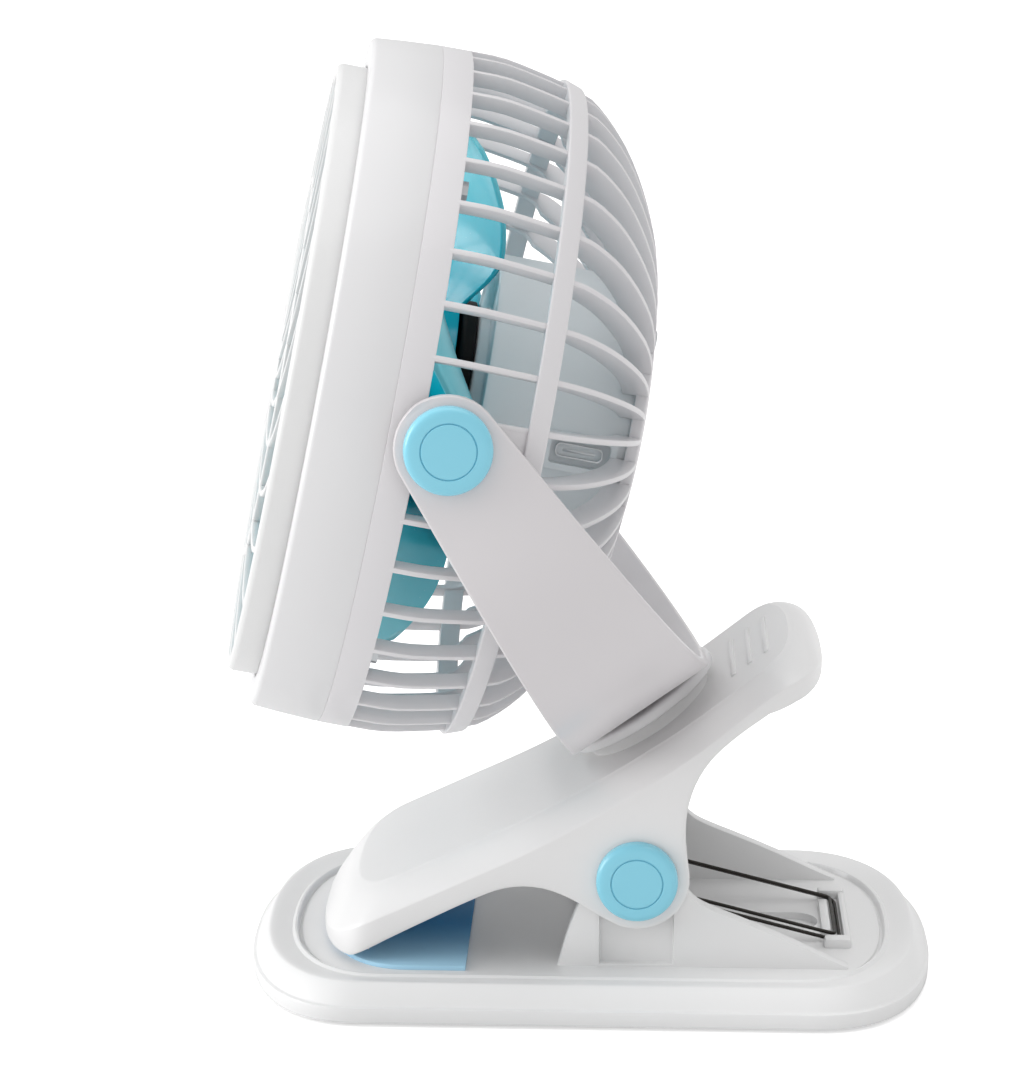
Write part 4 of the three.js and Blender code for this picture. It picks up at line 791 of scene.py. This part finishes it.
def swivelBoss():
    top, radius, bottom = -swivel["bossTop"], swivel["bossRadius"], -swivel["nutTop"]
    bolt, skirt = swivel["boltRadius"], swivel["bossRadius"] + 2.6
    boss = turnedBody([(top, bolt), (top, radius, 0.5), (top - 3.2, radius, 1.2), (top - 5.0, skirt),
                       (bottom, skirt), (bottom, bolt)], 72)
    return moved(boss, at(0, turret["pivotY"], turret["pivotZ"]) @ about("X", turret["lean"]) @ alongZ)


def gripRidge(index):
    grip = lever["grip"]
    y = grip["first"] + grip["pitch"] * index
    slope = atan2(curveAt(crownLine, y + 1) - curveAt(crownLine, y - 1), 2)
    ridge = blockBody((-grip["halfWidth"], -grip["halfLength"], -grip["sink"]),
                      (grip["halfWidth"], grip["halfLength"], grip["rise"]), 0.4)
    return moved(ridge, at(0, y, curveAt(crownLine, y)) @ Matrix.Rotation(slope, 4, "X"))


finishPiece("leverMoulding", joined(leverSkin(), swivelBoss(), slabBody(lever["noseFloor"], 10.2, 13.2),
                                    *[gripRidge(index) for index in range(3)]),
            "leverPlastic", "lever", "clip_lever", sharp=28)
finishPiece("upperGripPad", blockBody((-21, -54, 8.95), (21, -47.4, 10.25), 0.35), "padRubber", "lever",
            "upper_jaw_pad")


# side cap: its dished face with a ring groove, and the flat back
capFace = [(0, 6.8), (0, 8.35), (0.25, 8.6), (1.5, 8.6), (2.05, 8.48), (2.45, 8.2), (2.7, 7.8),
           (2.84, 7.2), (2.9, 6.4), (2.93, 5.62), (2.88, 5.54), (2.66, 5.5), (2.6, 5.4), (2.66, 5.3),
           (2.9, 5.26), (2.97, 5.16), (3.01, 4.2), (3.04, 2.2), (3.05, 0)]
capBack = [(1.9, 0), (1.9, 6.8)]


def addCaps(name, body, across, centre, node):
    for degrees, hand in ((0, "right"), (180, "left")):
        cap = moved(turnedBody(capFace + capBack, 72), alongX, at(across, 0, 0), about("Z", degrees),
                    centre)
        finishPiece(name + hand.title(), cap, "skyPlastic", body, node + hand)


addCaps("clipCap", "lever", lever["halfWidth"] + 0.2, at(0, hinge["y"], hinge["z"]), "clip_cap_")
print("lever made")


yoke = {"innerHalf": 73.6, "innerDepth": 77.0, "arm": 2.8, "bottom": 2.2, "straight": 20,
        "roundness": 2.15, "topHalf": 10.4, "taper": 0.085, "soften": 0.55,
        "headSteps": 10, "armSteps": 6, "bendSteps": 64}


def bendPoint(halfWidth, depth, share):
    # point of the bend under the arms, for a share of the way from one arm to the other
    power = 2 / yoke["roundness"]
    c, s = cos(share * pi), max(sin(share * pi), 0)
    x = (1 if c > 0 else -1) * halfWidth * abs(c) ** power
    return Vector((x, 0, -(yoke["straight"] + (depth - yoke["straight"]) * s ** power)))


def yokeStation(inner, outer, innerWidth, outerWidth):
    out = outer - inner
    section = barSection(innerWidth, outerWidth, out.length, yoke["soften"], 4)
    return inner, Vector((0, 1, 0)), out.normalized(), section


def armStations(side):
    # from the round head of an arm to the start of its bend
    top, levels = yoke["topHalf"], []
    for i in range(yoke["headSteps"]):
        angle = pi / 2 * (1 - (i + 0.02) / yoke["headSteps"])
        levels.append((top * sin(angle), top * cos(angle)))
    for i in range(yoke["armSteps"]):
        drop = yoke["straight"] * i / yoke["armSteps"]
        levels.append((-drop, top + yoke["taper"] * drop))
    inner, outer = side * yoke["innerHalf"], side * (yoke["innerHalf"] + yoke["arm"])
    return [yokeStation(Vector((inner, 0, z)), Vector((outer, 0, z)), width, width)
            for z, width in levels]


def yokeBody():
    outerHalf, outerDepth = yoke["innerHalf"] + yoke["arm"], yoke["innerDepth"] + yoke["bottom"]
    bend = []
    for i in range(yoke["bendSteps"] + 1):
        ends = (bendPoint(yoke["innerHalf"], yoke["innerDepth"], i / yoke["bendSteps"]),
                bendPoint(outerHalf, outerDepth, i / yoke["bendSteps"]))
        bend.append(yokeStation(*ends, *[yoke["topHalf"] - yoke["taper"] * end.z for end in ends]))
    return sweptBody(armStations(1) + bend + armStations(-1)[::-1])


def swivelDisc():
    top, radius, hole = -swivel["discTop"], swivel["discRadius"], swivel["discHole"]
    bottom = top - swivel["discThickness"]
    return moved(turnedBody([(top, hole), (top, radius - 1.6, 0.3), (top - 0.25, radius - 0.3, 0.4),
                             (top - 0.9, radius, 0.4), (bottom, radius, 0.45), (bottom, hole)]), alongZ)


finishPiece("yokeMoulding", yokeBody(), "armPlastic", "yoke", "yoke")
finishPiece("swivelDiscMoulding", swivelDisc(), "whitePlastic", "yoke", "swivel_disc")
addCaps("yokeCap", "yoke", yoke["innerHalf"] + yoke["arm"] + 0.1, at(0, 0, 0), "yoke_cap_")
print("yoke made")


head = {
    "drumFront": -14.5, "drumFrontRadius": 71.4, "seamRadius": 72.3, "wall": 2.2, "mouth": 65.3,
    "bandEnd": 6.3, "hoopFrom": 26.5, "hoopTo": 30.7, "hoopProud": 0.85, "hoopDepth": 2.6,
    "ribs": 42, "ribHalf": 0.62, "ribDepth": 3.2, "finDepth": 5.6, "ribSoft": 0.32,
    "ribStations": [5.6, 7, 9, 11, 14, 17, 20, 23, 26, 29, 31, 33, 35, 37, 39, 41, 43, 45, 46.6, 48.2,
                    49.6, 50.8, 51.8, 52.6, 53.2],
    "discRadius": 33, "discInner": 52, "steps": 144,
    "outline": [(0, 72.3), (7.4, 72.4), (13.2, 72.3), (19.6, 71.2), (26, 69.8), (30.2, 68.4), (34, 66.8),
                (40, 61.4), (45.2, 54.2), (49.6, 45.8), (52.2, 38), (53.6, 31)],
}
cageLine = pairsOf(smoothLine(head["outline"]))


def drumBody():
    front, wall, seam = head["drumFront"], head["wall"], head["seamRadius"]
    radius, mouth = head["drumFrontRadius"], head["mouth"]
    return turnedBody([(front, mouth, 0.4), (front, radius - 0.2, 1.1), (front + 6, radius + 0.35),
                       (-0.3, seam), (-0.06, seam - 0.1), (-0.06, seam - wall),
                       (front + 2.6, radius - wall, 1.0), (front + 1.6, mouth, 0.3)], head["steps"])


def bandBody(start, end, proud, depth, soften):
    # a ring on the cage's outline
    outer = [(s, curveAt(cageLine, s) + proud, soften) for s in (start, end)]
    inner = [(s, curveAt(cageLine, s) - depth, 0.3) for s in (end, start)]
    return turnedBody(outer + inner, head["steps"])


def ribBody():
    # one rib on the X side, from inside the band to the disc at the rear
    stations, half = [], head["ribHalf"]
    for s in head["ribStations"]:
        slope = (curveAt(cageLine, s + 0.4) - curveAt(cageLine, s - 0.4)) / 0.8
        length = hypot(1, slope)
        inwards = Vector((-1 / length, slope / length, 0))
        depth = curveAt([(30, head["ribDepth"]), (35, head["finDepth"])], s)
        stations.append((Vector((curveAt(cageLine, s), s, 0)), Vector((0, 0, 1)), inwards,
                         barSection(half, half, depth, head["ribSoft"])))
    return sweptBody(stations)


rear = {
    "face": [(53.2, 33, 0.5), (54.4, 26), (55.2, 17), (55.7, 8), (55.8, 0.2)], "beyond": 60,
    "lip": 0.8, "lipDepth": 1.4, "doorX": 10.2, "doorZ": 26.5, "doorCorner": 3.0, "gap": 0.35,
    "buttonX": 19.6, "buttonRadius": 5.0, "buttonTop": 54.3, "buttonFoot": 50.3, "lightZ": 9.6,
    "lightRadius": 1.4, "screwX": 17.0, "screwZ": 21.5, "screwSeat": 52.8, "screwHole": 1.5,
    "screwWell": 2.75,
}
rearCorners = {"upper_left": (-1, 1), "upper_right": (1, 1), "lower_left": (-1, -1),
               "lower_right": (1, -1)}


def doorBlock(gap):
    outline = roundedCorners(rear["doorX"] - gap, rear["doorZ"] - gap, rear["doorCorner"] - gap)
    return moved(slabBody(outline, -60, -50), alongZ)


def rearFace():
    # the disc's domed face, with a lip inwards that the ribs run into
    inner, radius = head["discInner"], head["discRadius"]
    lipEnd, lipRadius = inner - rear["lipDepth"], radius - rear["lip"]
    return turnedBody(rear["face"] + [(inner, 0.2), (inner, lipRadius), (lipEnd, lipRadius, 0.1),
                                      (lipEnd, radius, 0.2)], head["steps"])


def rearDisc():
    inner = head["discInner"] - 1
    tools = [doorBlock(0)]
    for z, radius in ((0, rear["buttonRadius"]), (rear["lightZ"], rear["lightRadius"])):
        hole = pinProfile(inner, radius + rear["gap"], rear["beyond"])
        tools.append(lengthwise(rear["buttonX"], z, hole))
    for x, z in rearCorners.values():
        tools.append(lengthwise(x * rear["screwX"], z * rear["screwZ"], steppedProfile(
            inner, rear["screwHole"], rear["screwSeat"], rear["screwWell"], rear["beyond"]), 32))
    return carved(rearFace(), *tools)


def seamLip():
    # ledge behind the seam, so that the joint line is a shallow groove
    half, outer, inner = 1.2, head["seamRadius"] - 0.16, head["seamRadius"] - 2.1
    return turnedBody([(-half, outer), (half, outer), (half, inner), (-half, inner)], head["steps"])


pivot = {"face": 72.4, "stations": [5.8, 10, 14, 18, 22, 27], "thickness": 2.2, "hole": 2.7,
         "stem": 4.4, "stemFrom": 61.5, "seat": 8.6, "seatDepth": 2.6}


def pivotPanel(degrees):
    # solid panel between two ribs under the yoke's arm, with its round seat
    stations, columns = pivot["stations"], 8

    def pointAt(i, j):
        angle = pi / head["ribs"] * (i / columns * 2 - 1)
        r = curveAt(cageLine, stations[j])
        return Vector((r * cos(angle), stations[j], r * sin(angle)))
    panel = settled(gridBody(columns, len(stations) - 1, pointAt, wraps=False, filled=False))
    bmesh.ops.solidify(panel, geom=panel.faces[:], thickness=pivot["thickness"])
    face, step, foot = pivot["face"], pivot["face"] - pivot["seatDepth"], pivot["stemFrom"]
    hole, stem, radius = pivot["hole"], pivot["stem"], pivot["seat"]
    seat = turnedBody([(foot, hole), (foot, stem), (step, stem), (step, radius), (face, radius, 0.4),
                       (face, hole)], 48)
    moved(seat, alongX, at(0, turret["seamToPivot"], 0))
    return [moved(shape, about("Y", degrees)) for shape in (panel, seat)]


finishPiece("drumRing", drumBody(), "whitePlastic", "head", "front_ring")
ribs = repeated(moved(ribBody(), about("Y", 180 / head["ribs"])), head["ribs"])
cageParts = [seamLip(), bandBody(0.06, head["bandEnd"], 0, head["wall"], 0.2),
             bandBody(head["hoopFrom"], head["hoopTo"], head["hoopProud"], head["hoopDepth"], 0.55),
             ribs, rearDisc(), *pivotPanel(0), *pivotPanel(180)]
finishPiece("cageMoulding", joined(*cageParts), "cagePlastic", "head", "rear_cage")
print("drum and cage made")


def batteryDoor():
    door = carved(rearFace(), doorBlock(rear["gap"]), keep=True)
    ridges = [blockBody((-5.5, 55.0, z - 0.4), (5.5, 55.65, z + 0.4)) for z in (18.4, 20.2, 22.0)]
    return joined(door, *ridges)


def buttonBody():
    foot, top, radius = rear["buttonFoot"], rear["buttonTop"], rear["buttonRadius"]
    return lengthwise(rear["buttonX"], 0, [
        (foot, 0), (foot, radius), (top - 0.5, radius, 0.2), (top, radius - 0.7, 0.3),
        (top - 0.15, radius - 2.0, 0.4), (top - 0.3, 1.2), (top - 0.32, 0)], 56)


def lightBody():
    foot, top, radius = rear["buttonFoot"], rear["buttonTop"], rear["lightRadius"]
    return lengthwise(rear["buttonX"], rear["lightZ"], [
        (foot, 0), (foot, radius), (top - 0.5, radius, 0.1), (top - 0.2, radius - 0.3, 0.2), (top, 0.4),
        (top, 0)], 32)


finishPiece("batteryDoorPanel", batteryDoor(), "whitePlastic", "head", "battery_door")
finishPiece("powerButtonCap", buttonBody(), "skyPlastic", "button", "power_button")
finishPiece("statusLightWindow", lightBody(), "lightWindow", "head", "status_light")
for place, (x, z) in rearCorners.items():
    screw = moved(screwBody(12), at(x * rear["screwX"], rear["screwSeat"] + 1.4, z * rear["screwZ"]))
    finishPiece("housingScrew" + titled(place), screw, "zincPlate", "head",
                "housing_screw_" + place)


housing = {
    "stepFrom": 18.0, "stepRadius": 20.0, "from": 20.6, "radius": 32.0, "wall": 1.6, "rear": 51.7,
    "sleeve": 12.6, "sleeveEnd": 28, "postRadius": 2.6, "mountFrom": 14.5, "mountRadius": 21.0,
    "mountHole": 3, "portCentre": 41.5, "portDrop": 2.3, "portHalf": 6.2, "portRise": 2.7, "rim": 1.3,
    "recess": 29.4, "beyond": 40,
}


def portBlock(x0, x1, grow, corner=0.8):
    # block along X round the middle of the port
    outline = roundedCorners(housing["portHalf"] + grow, housing["portRise"] + grow, corner, 4)
    return moved(slabBody(outline, x0, x1), outlineAcross,
                 at(0, housing["portCentre"], -housing["portDrop"]))


def housingBody():
    step, front, back, beyond = housing["stepFrom"], housing["from"], housing["rear"], housing["beyond"]
    neck, radius, sleeve = housing["stepRadius"], housing["radius"], housing["sleeve"]
    inner, floor, bore = radius - housing["wall"], front + housing["wall"], sleeve + housing["wall"]
    shell = turnedBody([
        (step, sleeve), (step, neck, 0.7), (front, neck + 0.2, 0.5), (front, radius - 1.4, 0.3),
        (front - 0.5, radius - 1.1, 0.2), (front - 0.5, radius - 0.1, 0.3), (front + 0.7, radius, 0.3),
        (back, radius), (back, inner), (floor, inner, 0.8), (floor, bore), (housing["sleeveEnd"], bore),
        (housing["sleeveEnd"], sleeve)], 128)
    shell = carved(shell, portBlock(24, beyond, 0.2))
    frameRing = carved(portBlock(housing["recess"], radius + 0.75, housing["rim"], 1.4),
                       portBlock(housing["recess"] + 0.8, beyond, 0))
    posts, post, hole = [], housing["postRadius"], rear["screwHole"]
    for x, z in rearCorners.values():
        tube = turnedBody([(front + 0.6, hole), (front + 0.6, post), (back, post, 0.2), (back, hole)], 24)
        posts.append(moved(tube, at(x * rear["screwX"], 0, z * rear["screwZ"])))
    return joined(shell, frameRing, *posts)


def socketShell():
    shell = carved(portBlock(21.6, housing["recess"] + 1.5, -1.2, 1.2),
                   portBlock(23, housing["beyond"], -1.55, 0.9))
    y, z, half = housing["portCentre"], -housing["portDrop"], 3.4
    tongue = blockBody((22, y - half, z - 0.35), (housing["recess"] + 0.9, y + half, z + 0.35), 0.15)
    return joined(shell, tongue)


def mountRing():
    start, end, radius = housing["mountFrom"], housing["stepFrom"] - 0.3, housing["mountRadius"]
    hole = housing["mountHole"]
    return turnedBody([(start, hole), (start, radius - 1.2, 0.5), (start + 0.9, radius, 0.4),
                       (end, radius, 0.35), (end, hole)])


finishPiece("motorHousingShell", housingBody(), "innerPlastic", "head", "motor_housing")
finishPiece("portShell", socketShell(), "zincPlate", "head", "usb_socket")
finishPiece("motorMountRing", mountRing(), "blackPlastic", "head", "motor_mount")
print("motor housing made")


impeller = {
    "hubFront": -5.0, "hubRear": 13.8, "hubRadius": 20.5, "hubWall": 1.6, "boss": 3.6, "bore": 1.1,
    "tipRadius": 60.0, "blades": 5, "span": 58, "sweep": 10, "thickness": 1.4, "tipRound": 5.5,
    "rows": 22, "columns": 18,
    "rear": [(18, 12.4), (20, 13), (24, 15.5), (28, 18.2), (33, 20.0), (42, 18.4), (50, 14.5), (56, 10),
             (60.4, 6)],
}
bladeRear = pairsOf(smoothLine(impeller["rear"]))


def hubBody():
    front, back, radius = impeller["hubFront"], impeller["hubRear"], impeller["hubRadius"]
    wall, boss, bore = impeller["hubWall"], impeller["boss"], impeller["bore"]
    return turnedBody([
        (front, 7.5), (front, radius - 3, 0.6), (front + 1, radius - 0.9, 0.9), (front + 3, radius, 0.9),
        (back, radius, 0.3), (back, radius - wall), (front + 2.6, radius - wall, 1.0),
        (front + wall, radius - 4), (front + wall, boss), (back - 2, boss, 0.3), (back - 2, bore),
        (front + 0.8, bore), (front + 0.8, 7.5)], 128)


def bladeBody(index):
    # each loop point is a share of the chord, a side of the blade and how far past the edge it lies
    steps = impeller["columns"]
    edge = [(0.8, 0.5), (0.3, 0.8), (-0.3, 0.8), (-0.8, 0.5)]
    loop = [(i / steps, 1.0, 0) for i in range(steps + 1)]
    loop += [(1, side, beyond) for side, beyond in edge]
    loop += [(i / steps, -1.0, 0) for i in range(steps, -1, -1)]
    loop += [(0, side, -beyond) for side, beyond in reversed(edge)]
    hub, tip, thickness = impeller["hubRadius"], impeller["tipRadius"], impeller["thickness"]
    rows = [(hub - 0.9, 0), (hub - 0.9, 1)]
    rows += [(hub + (tip - 0.3 - hub) * k / impeller["rows"], 1) for k in range(impeller["rows"] + 1)]
    rows += [(tip - 0.08, 0.7), (tip, 0)]

    def pointAt(i, j):
        t, side, beyond = loop[i]
        r, share = rows[j]
        r -= impeller["tipRound"] * max(0, (r - 40) / 20) * abs(2 * t - 1) ** 6
        outwards = max(0, (r - hub) / (tip - hub))
        behind, front = curveAt(bladeRear, r), impeller["hubFront"] + 2.5 - 3 * outwards
        turn = radians(360 / impeller["blades"] * index + impeller["sweep"] * outwards ** 1.5
                       + impeller["span"] * t)
        turn += beyond * share * thickness / 2 / r
        along = behind + (front - behind) * t ** 0.9 + side * share * thickness / 2
        return Vector((r * cos(turn), along, r * sin(turn)))
    return gridBody(len(loop), len(rows) - 1, pointAt)


def hubCap():
    front = impeller["hubFront"]
    return turnedBody([(front - 1.6, 0), (front - 1.58, 1.8), (front - 1.42, 3.8), (front - 1.1, 5.4),
                       (front - 0.5, 6.7), (front + 0.1, 7.15), (front + 0.5, 7.2), (front + 0.5, 0)],
                      64, closed=False)


finishPiece("impellerMoulding", joined(hubBody(), *[bladeBody(k) for k in range(impeller["blades"])]),
            "bladePlastic", "rotor", "impeller", sharp=40)
finishPiece("hubCapDome", hubCap(), "bladePlastic", "rotor", "hub_cap")
print("impeller made")


guard = {"front": -20.4, "dome": 1.5, "rim": 64.8, "rimInner": 62.2, "rimRear": -10.5, "spokes": 24,
         "half": 0.65, "depth": 2.0, "soft": 0.3, "sweep": 34, "spokeFrom": 12.5, "spokeTo": 63.4,
         "spokeSteps": 30, "hub": 14.0, "hubRing": (10, 15), "hoop": (39.2, 40.8)}


def domeAt(r):
    return guard["front"] - guard["dome"] * (1 - (r / guard["rim"]) ** 2)


def spokeBody():
    steps, half = guard["spokeSteps"], guard["half"]
    section = barSection(half, half, guard["depth"], guard["soft"])
    line = []
    for k in range(steps + 1):
        r = guard["spokeFrom"] + (guard["spokeTo"] - guard["spokeFrom"]) * k / steps
        share = max(0, (r - guard["hub"]) / (guard["rim"] - guard["hub"]))
        turn = radians(guard["sweep"]) * share ** 1.3
        line.append(Vector((r * cos(turn), domeAt(r), r * sin(turn))))
    back = Vector((0, 1, 0))
    return sweptBody([(point, headingAt(line, k).cross(back).normalized(), back, section)
                      for k, point in enumerate(line)])


def guardRing(inner, outer):
    depth, soft = guard["depth"], 0.4
    return turnedBody([(domeAt(outer), outer, soft), (domeAt(outer) + depth, outer, soft),
                       (domeAt(inner) + depth, inner, soft), (domeAt(inner), inner, soft)], 128)


def guardBody():
    rim, front, back, inner = guard["rim"], guard["front"], guard["rimRear"], guard["rimInner"]
    rimBody = turnedBody([(domeAt(inner), inner, 0.5), (front, rim - 0.7, 0.4), (front + 0.8, rim, 0.5),
                          (back, rim, 0.3), (back, rim - 2, 0.3), (front + 2.4, rim - 2.4, 0.4)], 144)
    return joined(rimBody, guardRing(*guard["hubRing"]), guardRing(*guard["hoop"]),
                  repeated(spokeBody(), guard["spokes"]))


def badgeBody():
    # bare disc with one shallow ring near its edge
    back = guard["front"] - guard["dome"] + 0.25
    face = [(-0.9, 0), (-0.9, 3), (-0.87, 7), (-0.82, 8.9, 0.1), (-0.6, 9.2, 0.1), (-0.76, 9.5, 0.1),
            (-0.62, 12.0, 0.3), (-0.3, 13.0, 0.2), (0, 13.0, 0.1), (0, 0)]
    return turnedBody([(back + rise, *rest) for rise, *rest in face], closed=False)


finishPiece("frontGuardMoulding", guardBody(), "guardPlastic", "head", "front_guard")
finishPiece("guardBadgeDisc", badgeBody(), "whitePlastic", "head", "guard_badge")
print("front guard made")


# the air and the floor shine more for the camera than for the part
studio = {
    "floorSize": 6, "floorTone": 0.85, "floorGlow": 0.5, "air": 0.71, "airSeen": 1.0,
    "suns": {  # direction, spread in degrees, strength
        "keyLight": ((-0.22, 0.80, -0.56), 60, 0.55), "lowLight": ((-0.06, 0.96, -0.24), 40, 1.5),
        "topLight": ((0, -0.1, -1), 60, 0.7)},
}


def seenByCamera(tree):
    return addNode(tree, "ShaderNodeLightPath").outputs["Is Camera Ray"]


def addFloor():
    bm = bmesh.new()
    bmesh.ops.create_grid(bm, x_segments=1, y_segments=1, size=studio["floorSize"])
    floor = placed("paleFloor", meshOf(bm, "paleFloor"))
    material, tree, shader = newMaterial("palePaper")
    glow = addNode(tree, "ShaderNodeMath", {0: seenByCamera(tree), 1: studio["floorGlow"]},
                   operation="MULTIPLY")
    feed(tree, shader, {"Base Color": (*[studio["floorTone"]] * 3, 1), "Roughness": 0.9,
                        "Emission Color": (1, 1, 1, 1), "Emission Strength": glow.outputs["Value"]})
    floor.data.materials.append(material)


def addLight():
    for name, (direction, spread, strength) in studio["suns"].items():
        lamp = placed(name, bpy.data.lights.new(name, "SUN"))
        lamp.data.angle = radians(spread)
        lamp.data.energy = strength
        lamp.rotation_euler = facing(direction)
    world = bpy.data.worlds.new("studioAir")
    bpy.context.scene.world = world
    world.use_nodes = True
    tree = world.node_tree
    strength = addNode(tree, "ShaderNodeMapRange", {"Value": seenByCamera(tree), "To Min": studio["air"],
                                                    "To Max": studio["airSeen"]})
    feed(tree, tree.nodes["Background"], {"Color": (1, 1, 1, 1), "Strength": strength.outputs["Result"]})
    bpy.context.scene.view_settings.view_transform = "Standard"


addFloor()
addLight()
print("floor and light made")


# finishes of the pieces that are kept from the CAD model, by the start of their names
keptFinishes = {
    "clip_pin": "brightSteel", "swivel_bolt": "zincPlate", "swivel_nut": "zincPlate",
    "tilt_screw_": "zincPlate", "tilt_washer_": "blackPlastic", "motor_can": "brightSteel",
    "battery_cell": "cellSleeve", "circuit_board": "boardLacquer", "cage_screw_": "zincPlate",
    "motor_shaft": "brightSteel",
}
for nodeName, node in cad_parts.items():
    for start, finish in keptFinishes.items():
        if nodeName.startswith(start):
            for slot in node.material_slots:
                slot.material = materials[finish]
